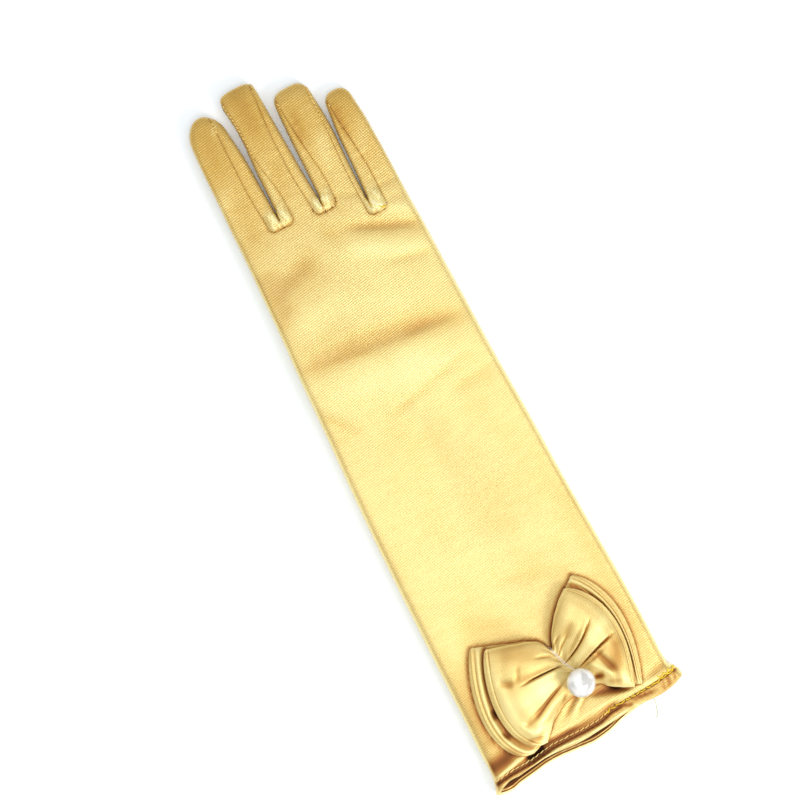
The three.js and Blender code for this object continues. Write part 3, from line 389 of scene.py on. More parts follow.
def finger_points(layer, f):
    """All rows of one layer of a finger, beyond its root."""
    finger = FINGERS[f]
    share = np.linspace(0, 1, FINGER_ROWS + 1)[1:] ** 0.93
    share = share[:, None]
    within = WITHIN[None, :]
    top = mix(KNUCKLE_Y[f], KNUCKLE_Y[f + 1], within)
    across = (mix(KNUCKLE_X[f], KNUCKLE_X[f + 1], within) - HAND_LEFT) / PALM_WIDTH
    _, _, shoulder, tip, _ = finger_edges(f, top)
    off = np.abs(2 * within - 1)
    n = finger["squareness"]
    end = shoulder + (tip - shoulder) * np.maximum(0, 1 - off**n) ** (1 / n)
    y = mix(top, end, share)
    left, right, _, _, along = finger_edges(f, y)
    x = mix(left, right, within)
    droop = 1 - TIP_DROOP * smooth((along - 0.5) / 0.5)
    floor = LIFT * slope_at(across) * droop
    height = FINGER_HEIGHT * mix(1, 0.93, smooth(along))
    edge = EDGE_SHARE * height
    tip_fall = np.sqrt(np.maximum(0, 1 - share**10))
    if layer < 0:
        z = floor + edge - edge * palm_of(off) * tip_fall
    else:
        z = floor + edge + (height - edge - folds_at(x, y)) * back_of_finger(off) * tip_fall
    return np.stack([x, y, z], axis=-1)


# %% A net of cloth as arrays
class Net:
    """Points and quads of a piece of cloth."""

    def __init__(self):
        self.points = np.zeros((0, 3))
        self.quads = np.zeros((0, 4), int)

    def add(self, points):
        """Adds a grid of points and returns their numbers in the same grid."""
        start = len(self.points)
        self.points = np.r_[self.points, points.reshape(-1, 3)]
        return start + np.arange(points[..., 0].size).reshape(points.shape[:-1])

    def cover(self, grid, turned=False):
        """Quads over a grid of point numbers, facing up where rows run along y and columns along x."""
        quads = np.stack([grid[:-1, :-1], grid[:-1, 1:], grid[1:, 1:], grid[1:, :-1]], axis=-1).reshape(-1, 4)
        self.quads = np.r_[self.quads, quads[:, ::-1] if turned else quads]


def body_net():
    net = Net()
    back = net.add(body_points(1))
    palm = net.add(body_points(-1))
    palm[:, 0] = back[:, 0]
    palm[:, -1] = back[:, -1]
    palm[-1, ::PER_FINGER] = back[-1, ::PER_FINGER]
    net.cover(back)
    net.cover(palm, turned=True)
    for f in range(len(FINGERS)):
        root = slice(f * PER_FINGER, (f + 1) * PER_FINGER + 1)
        upper = np.r_[back[-1:, root], net.add(finger_points(1, f))]
        lower = np.r_[palm[-1:, root], net.add(finger_points(-1, f))]
        lower[1:, 0] = upper[1:, 0]
        lower[1:, -1] = upper[1:, -1]
        lower[-1] = upper[-1]
        net.cover(upper)
        net.cover(lower, turned=True)
    return net


glove_net = body_net()
print("net of the glove:", len(glove_net.points), "points,", len(glove_net.quads), "quads")

# %% [markdown]
# Between the fingers of a real glove run narrow strips called fourchettes, sewn in with two seams
# each that end in a small square tab on the back of the hand. Their outline could be cut with a
# Boolean, but that leaves long thin faces along the cut. Here the points of the net nearest to the
# outline are moved onto it, and the faces on each side become pieces of their own.

# %% Outlines of the strips and of the thumb's hole
FOURCHETTES = [
    dict(name="fourchette_index_middle", drop=0.88, seams=[
        dict(along=0, first=0.29, second=0.3),
        dict(along=0.2, first=0.32, second=0.26),
        dict(along=0.4, first=0.32, second=0.14),
        dict(along=0.6, first=0.3, second=0.07),
        dict(along=0.8, first=0.26, second=0.06),
        dict(along=1, first=0.26, second=0.05),
    ]),
    dict(name="fourchette_middle_ring", drop=0.75, seams=[
        dict(along=0, first=0.24, second=0.32),
        dict(along=0.2, first=0.27, second=0.33),
        dict(along=0.4, first=0.26, second=0.26),
        dict(along=0.6, first=0.24, second=0.19),
        dict(along=0.8, first=0.16, second=0.13),
        dict(along=1, first=0.09, second=0.09),
    ]),
    dict(name="fourchette_ring_little", drop=1.08, seams=[
        dict(along=0, first=0.14, second=0.41),
        dict(along=0.2, first=0.15, second=0.39),
        dict(along=0.4, first=0.14, second=0.34),
        dict(along=0.6, first=0.12, second=0.26),
        dict(along=0.8, first=0.08, second=0.16),
        dict(along=1, first=0.06, second=0.08),
    ]),
]
TAB_CORNER = 0.34 * FINGER_HEIGHT  # radius of the tab's corners


def seam_x(f, side, y):
    """Where the seam of strip f crosses a height: side -1 is the finger before the gap, 1 the one after."""
    finger = f if side < 0 else f + 1
    left, right, _, _, along = finger_edges(finger, np.maximum(y, KNUCKLE_Y[f + 1]))
    share = read(FOURCHETTES[f]["seams"], "first" if side < 0 else "second", along)
    return right - share * (right - left) if side < 0 else left + share * (right - left)


def strip_outline(f):
    """The strip's outline as points in order: up one seam, over both tips, down the other and round the tab."""
    bottom = KNUCKLE_Y[f + 1] - FOURCHETTES[f]["drop"] * FINGER_HEIGHT
    past = FINGER_HEIGHT / 2
    tips = [finger_edges(f + side, KNUCKLE_Y[f + 1])[3] + past for side in (0, 1)]
    up = np.linspace(bottom + TAB_CORNER, tips[0], 60)
    down = np.linspace(tips[1], bottom + TAB_CORNER, 60)
    middle = [float(finger_edges(f, tip)[1] + finger_edges(f + 1, tip)[0]) / 2 for tip in tips]
    quarter = np.linspace(0, math.pi / 2, 8)[1:]
    right_x = float(seam_x(f, 1, bottom + TAB_CORNER)) - TAB_CORNER
    left_x = float(seam_x(f, -1, bottom + TAB_CORNER)) + TAB_CORNER
    corner_y = bottom + TAB_CORNER
    return np.concatenate([
        np.c_[seam_x(f, -1, up), up],
        [[middle[0], tips[0]], [middle[1], tips[1]]],
        np.c_[seam_x(f, 1, down), down],
        np.c_[right_x + TAB_CORNER * np.cos(quarter), corner_y - TAB_CORNER * np.sin(quarter)],
        np.c_[left_x - TAB_CORNER * np.sin(quarter), corner_y - TAB_CORNER * np.cos(quarter)],
    ])


def thumb_plan(x, y):
    """A point of the thumb's own plan, turned and set where its hole is."""
    sin, cos = math.sin(THUMB_LEAN), math.cos(THUMB_LEAN)
    return thumb_x + x * cos + y * sin, thumb_y + y * cos - x * sin


def hole_outline(grow, count=48):
    angle = np.linspace(0, 2 * math.pi, count, endpoint=False)
    x = (THUMB_HOLE_WIDTH / 2 + grow) * np.sin(angle)
    y = (THUMB_HOLE_LENGTH / 2 + grow) * -np.cos(angle)
    return np.stack(thumb_plan(x, y), axis=-1)


# %% Distance to an outline
def nearest_on(outline, points):
    """For each point: its distance to a closed outline, below zero inside, the nearest point and its length."""
    a = outline
    b = np.roll(outline, -1, axis=0)
    edge = b - a
    length = np.hypot(edge[:, 0], edge[:, 1])
    run = np.r_[0, np.cumsum(length)[:-1]]
    best = np.full(len(points), np.inf)
    near = np.zeros((len(points), 2))
    at = np.zeros(len(points))
    inside = np.zeros(len(points), bool)
    for i in range(len(a)):
        if length[i] < 1e-9:
            continue
        t = np.clip(((points - a[i]) @ edge[i]) / length[i] ** 2, 0, 1)
        foot = a[i] + t[:, None] * edge[i]
        distance = np.hypot(*(points - foot).T)
        closer = distance < best
        best[closer] = distance[closer]
        near[closer] = foot[closer]
        at[closer] = run[i] + t[closer] * length[i]
        crosses = (a[i, 1] > points[:, 1]) != (b[i, 1] > points[:, 1])
        if edge[i, 1] != 0:
            cut = a[i, 0] + (points[:, 1] - a[i, 1]) / edge[i, 1] * edge[i, 0]
            inside ^= crosses & (points[:, 0] < cut)
    return np.where(inside, -best, best), near, at


def normals_of(points, quads):
    a, b, c, d = (points[quads[:, k]] for k in range(4))
    face = np.cross(c - a, d - b)
    normal = np.zeros_like(points)
    for k in range(4):
        np.add.at(normal, quads[:, k], face)
    return normal / np.maximum(1e-12, np.linalg.norm(normal, axis=1))[:, None]


# %% [markdown]
# A sewn seam is more than a line. The stitching pulls the cloth down into a shallow groove, and the
# thread gathers it a little, so that short ripples run off from the seam on both sides. Both come
# from the distance to the outline: the groove fades in a millimetre and the ripples in three.

# %% Cut the net along its seams
TO_LIGHT = np.array([0.303, -0.683, 0.665])  # from the glove to the main lamp


def painted_lean_light(normals):
    """Paints shade, deep orange, where the cloth leans away from the main lamp, and a painted highlight where it leans
    towards it.
    """
    lean = TO_LIGHT[2] - normals @ TO_LIGHT
    return np.where(lean > 0, lean, 0.6 * lean) * smooth((normals[:, 2] - 0.4) / 0.4)


GROOVE_DEPTH = 0.3 * MM
GROOVE_REACH = 0.55 * MM
PUCKER_HEIGHT = 0.16 * MM
PUCKER_REACH = 2.6 * MM
PUCKER_PITCH = 2.7 * MM
SEAM_SLIT = 0.06 * MM


def cut_net(points, quads, outlines):
    """Moves the net's points onto the outlines and gives each face the number of the outline it lies in, or -1."""
    piece = np.full(len(quads), -1)
    seam = np.full(len(points), 1.0)
    normal = normals_of(points, quads)
    for number, (outline, keep) in enumerate(outlines):
        low = outline.min(axis=0) - 6 * MM
        high = outline.max(axis=0) + 6 * MM
        close = np.all((points[:, :2] > low) & (points[:, :2] < high), axis=1) & keep(points, normal)
        ids = np.flatnonzero(close)
        distance, foot, at = nearest_on(outline, points[ids, :2])
        far = np.full(len(points), np.inf)
        far[ids] = distance
        middle = far[quads].mean(axis=1)
        inner = middle < 0
        on_inner = np.zeros(len(points), bool)
        on_outer = np.zeros(len(points), bool)
        on_inner[quads[inner]] = True
        on_outer[quads[~inner]] = True
        border = on_inner & on_outer
        row = np.full(len(points), -1)
        row[ids] = np.arange(len(ids))
        moved = np.flatnonzero(border & (row >= 0))
        shift = foot[row[moved]] - points[moved, :2]
        slope = normal[moved, :2] / np.where(np.abs(normal[moved, 2:]) < 0.35, 0.35, normal[moved, 2:])
        points[moved, :2] += shift
        points[moved, 2] -= np.clip((slope * shift).sum(axis=1), -0.5 * MM, 0.5 * MM)
        gap = np.abs(distance)
        gap[row[moved]] = 0
        pucker = np.sin(at * 2 * math.pi / PUCKER_PITCH + 1.7 * np.sin(at * 2 * math.pi / (4.3 * PUCKER_PITCH)))
        low_end = smooth((outline[:, 1].min() + 9 * MM - points[ids, 1]) / (6 * MM))
        sink = GROOVE_DEPTH * mix(0.35, 1, low_end) * bump(gap, GROOVE_REACH)
        sink = sink + PUCKER_HEIGHT * pucker * np.exp(-gap / PUCKER_REACH) * (1 - bump(gap, GROOVE_REACH))
        points[ids] -= normal[ids] * sink[:, None]
        seam[ids] = np.minimum(seam[ids], np.minimum(1, gap / (1.0 * MM)))
        piece[inner] = number
    return piece, seam


everywhere = lambda points, normal: np.ones(len(points), bool)
on_palm = lambda points, normal: normal[:, 2] < -0.5
HEM_LINE = [(-43.3, 1.0), (-36.9, 1.9), (-25.4, 2.3), (-16, 3.8), (-1.5, 3.5), (6.2, 3.8), (12.3, 5.4), (26, 5.8),
            (34, 6.2), (42.0, 7.4)]
hem_x, hem_y = np.array(HEM_LINE).T * MM
# place from the stitch line in mm, width and depth in mm, tone of its painted shade, and how far across the glove it
# goes in mm
HEM_FOLDS = [(0, 0.5, 0.5, 1.5, 50), (1.1, 0.8, 0.3, 0.8, 18), (-1.4, 0.8, 0.3, 1.7, 19)]
HEM_SHADE = 0.35  # painted shade on the hem band below the stitches
HEM_ROLL = (0.95, 0.55, 0.5, 1.25, 21)  # the roll above the mouth's edge, raised and given a painted highlight: the same columns, up from the edge
outlines = [(strip_outline(f), everywhere) for f in range(len(FOURCHETTES))]
outlines.append((hole_outline(REST_GAP), on_palm))
glove_piece, glove_seam = cut_net(glove_net.points, glove_net.quads, outlines)
glove_normals = normals_of(glove_net.points, glove_net.quads)
up_facing = smooth((glove_normals[:, 2] + 0.1) / 0.5)
# Each point's crease number is painted light: painted shade above zero and a painted highlight below. It starts with
# the folds' painted shade and highlights, on faces that look up.
glove_painted_light = folds_at(glove_net.points[:, 0], glove_net.points[:, 1], "tone") * up_facing
# Painted shade along the seams, in the grooves where shade falls, stronger towards the tabs.
by_tab = np.minimum.reduce([
    np.hypot(glove_net.points[:, 0] - KNUCKLE_X[f + 1], glove_net.points[:, 1] - KNUCKLE_Y[f + 1] + 6 * MM)
    for f in range(len(FOURCHETTES))
])
glove_painted_light += mix(0.45, 0.8, bump(by_tab, 5 * MM)) * (1 - glove_seam) ** 2
# Painted shade and highlight by how each face leans to the main lamp.
glove_painted_light += 0.5 * painted_lean_light(glove_normals)
# Painted highlight on the glove's steep sides, strongest along the sleeve.
steep = smooth((glove_normals[:, 2] + 0.3) / 0.3) * smooth((0.85 - glove_normals[:, 2]) / 0.5)
on_sleeve = smooth((KNUCKLE_Y.min() - glove_net.points[:, 1]) / (20 * MM)) * smooth(glove_net.points[:, 1] / (12 * MM))
glove_painted_light -= 0.9 * steep * mix(0.3, 1, on_sleeve)
back_rows = np.zeros(len(glove_net.points), bool)
back_rows[:len(row_share) * (LAST_COLUMN + 1)] = True
from_hem = (glove_net.points[:, 1] - np.interp(glove_net.points[:, 0], hem_x, hem_y)) / MM
# The stitches press the cloth into grooves, and each groove gets painted shade.
for place, wide, deep, tone, last in HEM_FOLDS:
    fade = smooth((last - glove_net.points[:, 0] / MM) / 4)
    pressed = bump(from_hem - place, wide) * up_facing * back_rows * fade
    glove_net.points[:, 2] -= deep * MM * pressed
    glove_painted_light += tone * pressed
# Painted shade on the hem band below the stitches.
glove_painted_light += HEM_SHADE * smooth(-from_hem / 0.6) * up_facing * back_rows
mouth_y = CUFF_WIDTH / MM * np.interp(
    (glove_net.points[:, 0] - HAND_LEFT) / PALM_WIDTH, [row["across"] for row in MOUTH_EDGE],
    [row["back"] for row in MOUTH_EDGE]
)
# The roll above the mouth's edge is raised and gets a painted highlight.
place, wide, high, tone, last = HEM_ROLL
fade = smooth((last - glove_net.points[:, 0] / MM) / 4)
rolled = bump(glove_net.points[:, 1] / MM - mouth_y - place, wide) * up_facing * back_rows * fade
glove_net.points[:, 2] += high * MM * rolled
glove_painted_light -= tone * rolled
# Low ripples below the stitches, with painted light and shade that follow them.
ripple = np.sin(glove_net.points[:, 0] / MM * 2 * math.pi / 2.3 + from_hem * 1.2) * bump(from_hem + 1.6, 1.8)
glove_net.points[:, 2] += 0.14 * MM * ripple * up_facing * back_rows
glove_painted_light -= 0.12 * ripple * up_facing * back_rows
# Painted light on the hem's rows, one number a row: painted shade inside the mouth, almost black in the slit between
# the layers, and painted highlights on the two rims.
PAINTED_RIM_OF_BACK = [2.4, 2.4, 2.4, 2.4, 2.4, 1.5, 1.2, 0.9, 0.3, 0, 0, 0]
PAINTED_RIM_OF_PALM = [2.2, 2.0, 0.2, 1.8, 1.9, -0.4, -1.3, -1.3, -0.2, 0.9, 0, 0]
plain_rows = np.zeros(len(row_share) - len(PAINTED_RIM_OF_BACK))
rim = np.repeat(np.r_[PAINTED_RIM_OF_BACK, plain_rows, PAINTED_RIM_OF_PALM, plain_rows], LAST_COLUMN + 1)
glove_painted_light[:len(rim)] += rim
print("faces in each strip:", [int((glove_piece == k).sum()) for k in range(4)])


# %% Make a mesh object from arrays
def make_object(name, points, quads, uv=None, crease=None):
    """A mesh whose place is in its points. uv holds each point's place on the cloth, in metres."""
    used = np.unique(quads)
    number = np.full(len(points), -1)
    number[used] = np.arange(len(used))
    faces = [tuple(dict.fromkeys(face)) for face in number[quads].tolist()]
    mesh = bpy.data.meshes.new(name)
    mesh.from_pydata((points[used] + np.array(ORIGIN)).tolist(), [], [face for face in faces if len(face) > 2])
    mesh.update()
    if uv is not None:
        layer = mesh.uv_layers.new(name="cloth")
        corner = np.zeros(len(mesh.loops), int)
        mesh.loops.foreach_get("vertex_index", corner)
        layer.data.foreach_set("uv", uv[used][corner].astype(np.float32).ravel())
    # The crease attribute carries painted light: painted shade above zero, a painted highlight below.
    if crease is not None:
        attribute = mesh.attributes.new("crease", "FLOAT", "POINT")
        attribute.data.foreach_set("value", crease[used].astype(np.float32))
    mesh.polygons.foreach_set("use_smooth", np.ones(len(mesh.polygons), bool))
    thing = bpy.data.objects.new(name, mesh)
    bpy.context.scene.collection.objects.link(thing)
    return thing


def bake_modifiers(thing):
    """Turns what the object's modifiers make into its plain mesh."""
    graph = bpy.context.evaluated_depsgraph_get()
    mesh = bpy.data.meshes.new_from_object(thing.evaluated_get(graph), depsgraph=graph)
    thing.modifiers.clear()
    old = thing.data
    thing.data = mesh
    bpy.data.meshes.remove(old)
    mesh.name = thing.name
    print(thing.name, "has", sum(len(face.vertices) - 2 for face in mesh.polygons), "triangles")
    return thing


def thicken(thing, thickness):
    """Gives a sheet its thickness, inwards from the face that shows."""
    solidify = thing.modifiers.new("thickness", "SOLIDIFY")
    solidify.thickness = thickness
    solidify.offset = -1
    solidify.use_rim = True
    bake_modifiers(thing)
    thing.data.set_sharp_from_angle(angle=math.radians(50))
    return thing


# %% The body and the strips
TAB_BULGE = 1.0 * MM
TAB_CRUMPLE = 0.55 * MM


def draw_back(points, quads, gap):
    """Moves the points on a piece's open edge a little towards its own cloth, so that seams have a slit."""
    sides = np.concatenate([quads[:, [k, (k + 1) % 4]] for k in range(4)])
    owner = np.tile(np.arange(len(quads)), 4)
    keys, first, count = np.unique(np.sort(sides, axis=1), axis=0, return_index=True, return_counts=True)
    open_sides = first[count == 1]
    centre = points[quads].mean(axis=1)
    pull = np.zeros_like(points)
    for k in range(2):
        np.add.at(pull, sides[open_sides, k], centre[owner[open_sides]] - points[sides[open_sides, k]])
    length = np.linalg.norm(pull, axis=1)
    moved = length > 0
    points[moved] += pull[moved] / length[moved, None] * gap


def strip_bulge(points, f):
    """Puffs up the square tab at the end of a strip."""
    distance = nearest_on(outlines[f][0], points[:, :2])[0]
    above = smooth((KNUCKLE_Y[f + 1] + 5 * MM - points[:, 1]) / (6 * MM))
    x, y = points[:, 0] / MM, points[:, 1] / MM
    crumple = np.sin(2.4 * x + 1.3 * np.sin(1.4 * y + f)) * np.sin(2.2 * y - 0.9 * x + 2 * f)
    inner = smooth(-distance / (2.2 * MM)) * above
    return inner * (TAB_BULGE + TAB_CRUMPLE * crumple), inner * crumple


cloth_uv = glove_net.points[:, :2] + np.array([0.1, 0.02])
NODE_OF = {-1: "glove_body"} | {f: strip["name"] for f, strip in enumerate(FOURCHETTES)}
glove_pieces = {}
for number, node in NODE_OF.items():
    quads = glove_net.quads[glove_piece == number]
    points = glove_net.points.copy()
    if number >= 0:
        used = np.unique(quads)
        facing_up = normals_of(points, glove_net.quads)[used, 2] > 0.3
        bulge, crumple = strip_bulge(points[used], number)
        points[used, 2] += bulge * facing_up
        # Painted highlight on the puffed tab and its crumples.
        glove_painted_light[used] -= (0.45 * crumple + 0.75 * bulge / TAB_BULGE) * facing_up
    draw_back(points, quads, SEAM_SLIT)
    piece = make_object("cloth_" + node, points, quads, cloth_uv, glove_painted_light)
    glove_pieces[node] = thicken(piece, CLOTH)

# %% [markdown]
# The thumb is pressed flat under the palm, where only its collar meets the hole in the palm. Rings of
# points run from the collar down and out over the upper layer, round the outline, and back under to
# the middle line, so that one grid makes the whole flat bag.

# %% The thumb
THUMB_SECTIONS = [
    dict(along=0, half=0.2),
    dict(along=0.05, half=0.4),
    dict(along=0.15, half=0.49),
    dict(along=0.4, half=0.5),
    dict(along=0.65, half=0.47),
    dict(along=0.82, half=0.4),
    dict(along=0.92, half=0.29),
    dict(along=0.98, half=0.14),
    dict(along=1, half=0.03),
]
THUMB_BACK = THUMB_HOLE_LENGTH / 2 + 1 * MM


def thumb_net():
    along = (1 - np.cos(np.linspace(0, math.pi, 46))) / 2
    half = THUMB_WIDTH * read(THUMB_SECTIONS, "half", along)
    side_y = mix(-THUMB_BACK, THUMB_LENGTH, along)
    rim = np.r_[np.c_[half, side_y], np.c_[-half[::-1], side_y[::-1]]]
    turn = np.arctan2(rim[:, 0] / THUMB_HOLE_WIDTH, -rim[:, 1] / THUMB_HOLE_LENGTH)
    hole = np.c_[THUMB_HOLE_WIDTH / 2 * np.sin(turn), -THUMB_HOLE_LENGTH / 2 * np.cos(turn)]
    axis = np.c_[0 * rim[:, 0], np.clip(rim[:, 1], -THUMB_BACK + 3 * MM, THUMB_LENGTH - 4 * MM)]
    middle = THUMB_THICKNESS / 2
    rings = [np.c_[hole * 0.985, np.full(len(hole), LIFT + 0.35 * MM)]]
    for share in np.r_[0, 0.05, np.linspace(0.15, 0.9, 9), 0.95, 0.985]:
        rings.append(np.c_[mix(hole, rim, share), np.full(len(rim), middle * (1 + math.sqrt(1 - share**10)))])
    for share in np.r_[1, 0.985, 0.95, np.linspace(0.9, 0.1, 8), 0]:
        rings.append(np.c_[mix(axis, rim, share), np.full(len(rim), middle * (1 - math.sqrt(1 - share**10)))])
    grid = np.array(rings)
    grid = np.concatenate([grid, grid[:, :1]], axis=1)
    x, y = thumb_plan(grid[..., 0], grid[..., 1])
    net = Net()
    numbers = net.add(np.stack([x, y, grid[..., 2]], axis=-1))
    numbers[:, -1] = numbers[:, 0]
    net.cover(numbers[::-1])
    return net


def weld(thing, distance=0.01 * MM):
    """Merges points that lie on each other and turns all faces outwards."""
    work = bmesh.new()
    work.from_mesh(thing.data)
    bmesh.ops.remove_doubles(work, verts=work.verts, dist=distance)
    bmesh.ops.recalc_face_normals(work, faces=work.faces)
    work.to_mesh(thing.data)
    work.free()


net = thumb_net()
thumb = make_object("cloth_thumb", net.points, net.quads, net.points[:, :2] + np.array([0.1, 0.02]))
weld(thumb)
thicken(thumb, CLOTH)

# %% [markdown]
# The bow is two wide sleeves of satin, one on the other, gathered at a common waist by thread. Ribs
# describe each sleeve: lines across it, from the left mouth over the waist to the right mouth, each
# with two ends and a bulge. Creases are lines too, in the glove's plan, that press the upper cloth
# down, or lift one side of it over the other as a pleat does.

# %% Ribs and creases of the bow
FRONT_RIBS = [
    dict(along=-1.0, top_x=-0.45, top_y=0.452, bottom_x=-0.375, bottom_y=-0.42,
         bulge=0.182, sag=1.5, curve=0.5, full=0.35),
    dict(along=-0.8, top_x=-0.35, top_y=0.42, bottom_x=-0.31, bottom_y=-0.35,
         bulge=0.15, sag=1.5, curve=0.55, full=0.85),
    dict(along=-0.55, top_x=-0.24, top_y=0.378, bottom_x=-0.24, bottom_y=-0.268,
         bulge=0.09, sag=1.35, curve=0.7, full=1.0),
    dict(along=-0.3, top_x=-0.14, top_y=0.332, bottom_x=-0.14, bottom_y=-0.2,
         bulge=0.035, sag=1.15, curve=0.9, full=0.7),
    dict(along=-0.12, top_x=-0.083, top_y=0.274, bottom_x=-0.04, bottom_y=-0.19,
         bulge=0.008, sag=1, curve=1, full=0.2),
    dict(along=0, top_x=-0.05, top_y=0.207, bottom_x=0.05, bottom_y=-0.207,
         bulge=0, sag=1, curve=1, full=0),
    dict(along=0.12, top_x=-0.017, top_y=0.284, bottom_x=0.11, bottom_y=-0.192,
         bulge=0.008, sag=1, curve=1, full=0.2),
    dict(along=0.3, top_x=0.042, top_y=0.39, bottom_x=0.175, bottom_y=-0.253,
         bulge=0.035, sag=0.95, curve=1, full=0.7),
    dict(along=0.55, top_x=0.108, top_y=0.478, bottom_x=0.233, bottom_y=-0.297,
         bulge=0.09, sag=0.9, curve=1, full=1.0),
    dict(along=0.8, top_x=0.175, top_y=0.551, bottom_x=0.283, bottom_y=-0.33,
         bulge=0.135, sag=0.85, curve=1, full=0.85),
    dict(along=1.0, top_x=0.222, top_y=0.587, bottom_x=0.333, bottom_y=-0.357,
         bulge=0.16, sag=0.8, curve=1, full=0.35),
]
BACK_RIBS = [
    dict(along=-1.0, top_x=-0.451, top_y=0.465, bottom_x=-0.415, bottom_y=-0.413,
         bulge=0.163, sag=1.5, curve=0.5, full=1),
    dict(along=-0.8, top_x=-0.345, top_y=0.418, bottom_x=-0.345, bottom_y=-0.382,
         bulge=0.135, sag=1.5, curve=0.55, full=1),
    dict(along=-0.55, top_x=-0.232, top_y=0.362, bottom_x=-0.26, bottom_y=-0.32,
         bulge=0.09, sag=1.35, curve=0.7, full=1),
    dict(along=-0.3, top_x=-0.134, top_y=0.313, bottom_x=-0.176, bottom_y=-0.242,
         bulge=0.035, sag=1.15, curve=0.9, full=0.6),
    dict(along=-0.12, top_x=-0.07, top_y=0.255, bottom_x=-0.05, bottom_y=-0.18,
         bulge=0.008, sag=1, curve=1, full=0.2),
    dict(along=0, top_x=-0.042, top_y=0.189, bottom_x=0.042, bottom_y=-0.189,
         bulge=0, sag=1, curve=1, full=0),
    dict(along=0.12, top_x=-0.007, top_y=0.268, bottom_x=0.106, bottom_y=-0.189,
         bulge=0.008, sag=1, curve=1, full=0.2),
    dict(along=0.3, top_x=0.056, top_y=0.373, bottom_x=0.169, bottom_y=-0.241,
         bulge=0.03, sag=0.95, curve=1, full=0.6),
    dict(along=0.55, top_x=0.127, top_y=0.46, bottom_x=0.225, bottom_y=-0.283,
         bulge=0.07, sag=0.9, curve=1, full=1),
    dict(along=0.8, top_x=0.197, top_y=0.534, bottom_x=0.282, bottom_y=-0.315,
         bulge=0.107, sag=0.85, curve=1, full=1),
    dict(along=1.0, top_x=0.26, top_y=0.59, bottom_x=0.331, bottom_y=-0.336,
         bulge=0.125, sag=0.8, curve=1, full=1),
]
# Points, widths and reaches in mm. deep presses the cloth down along the line, and step lifts the
# cloth on its left, seen from the waist, as far out as reach.
FRONT_CREASES = [
    dict(line=[(3.1, 30.8), (-7, 31.6), (-18, 31.6)], deep=1.7, wide=0.42, step=0.9, reach=4),
    dict(line=[(1.5, 25), (-10, 20.6), (-19.5, 15.2)], deep=1.2, wide=0.6, step=-0.7, reach=4),
    dict(line=[(0, 20.6), (-5.6, 15.4), (-10, 12.5)], deep=0.9, wide=0.8, step=-0.5, reach=3),
    dict(line=[(4.6, 31.2), (15.4, 36.9), (24, 45.6)], deep=1.7, wide=0.42, step=0.9, reach=4),
    dict(line=[(9.5, 27.2), (20.5, 31.2), (30.6, 34)], deep=1.7, wide=0.42, step=0.9, reach=3),
    dict(line=[(11.5, 20.6), (14.2, 20.4), (17.5, 19.4)], deep=0.4, wide=0.9, step=0.5, reach=3),
    dict(line=[(2.4, 38), (5.4, 41), (9, 43)], deep=0.6, wide=0.5, step=0.3, reach=2),
    dict(line=[(3.6, 35), (7, 38.5), (12, 42)], deep=0.6, wide=0.5, step=0.3, reach=2),
    dict(line=[(1.6, 36), (-2, 38), (-7, 39.4)], deep=0.5, wide=0.5, step=-0.3, reach=2),
]
FRONT_FOLDS = [
    dict(name="left light", x=-24.4, y=30, turn=86, long=15, wide=2.6, deep=-0.3, tone=-0.45),
    dict(name="upper shade", x=-10, y=43, turn=-25, long=9, wide=3.6, deep=0.35, tone=0.35),
    dict(name="dent", x=-21, y=35.4, turn=-35, long=3, wide=1.8, deep=0.5, tone=0.6),
    dict(name="small dent", x=-14.4, y=37, turn=62, long=3, wide=1.1, deep=0.35, tone=0.4),
    dict(name="above the first crease", x=-9, y=33.8, turn=-3, long=11, wide=1.8, deep=0.4, tone=0.4),
    dict(name="below it", x=-12, y=27, turn=8, long=13, wide=3.4, deep=-0.5, tone=-0.45),
    dict(name="valley", x=-17.5, y=17.6, turn=24, long=5.4, wide=1.5, deep=0.7, tone=0.55),
    dict(name="ridge", x=-11, y=16.6, turn=28, long=10, wide=1.4, deep=-0.6, tone=-0.5),
    dict(name="hook", x=-21.6, y=14.6, turn=-62, long=3, wide=1.2, deep=-0.5, tone=-0.6),
    dict(name="end of the hook", x=-16, y=11.6, turn=4, long=4.5, wide=1.2, deep=-0.5, tone=-0.6),
    dict(name="hollow at the end", x=-19.6, y=9.2, turn=-20, long=4, wide=1.2, deep=0.6, tone=0.75),
    dict(name="end shade", x=-25, y=11, turn=-52, long=4, wide=1.1, deep=0.2, tone=0.4),
    dict(name="right dent", x=12, y=43, turn=46, long=4, wide=2.2, deep=0.5, tone=0.5),
    dict(name="upper light", x=15.5, y=50, turn=50, long=7, wide=2.4, deep=-0.3, tone=-0.3),
    dict(name="beside the right crease", x=12, y=37.4, turn=37, long=8, wide=1.1, deep=0.4, tone=0.5),
    dict(name="light between", x=23, y=38.4, turn=28, long=8, wide=3, deep=-0.5, tone=-0.5),
    dict(name="light near the waist", x=12, y=32.2, turn=26, long=6, wide=1.5, deep=-0.4, tone=-0.4),
    dict(name="dark streak", x=19.8, y=24.4, turn=-72, long=5, wide=1.4, deep=0.9, tone=0.95),
    dict(name="under the ridge", x=15.5, y=27.8, turn=16, long=6, wide=0.8, deep=0.5, tone=0.6),
    dict(name="right shade", x=25, y=25, turn=66, long=8, wide=3.2, deep=0.4, tone=0.75),
    dict(name="right ridge", x=16.4, y=23, turn=-52, long=5, wide=1.2, deep=-0.7, tone=-0.6),
    dict(name="dimple", x=14.6, y=20.6, turn=-10, long=2, wide=1.6, deep=0.8, tone=1.1),
    dict(name="lower light", x=23, y=14.6, turn=70, long=4.5, wide=1.6, deep=-0.3, tone=-0.3),
    dict(name="lower left shade", x=-13.6, y=12.4, turn=28, long=6, wide=1.5, deep=0.2, tone=0.35),
    dict(name="lower shade", x=19.4, y=15.4, turn=-25, long=3, wide=1.2, deep=0.3, tone=0.45),
]
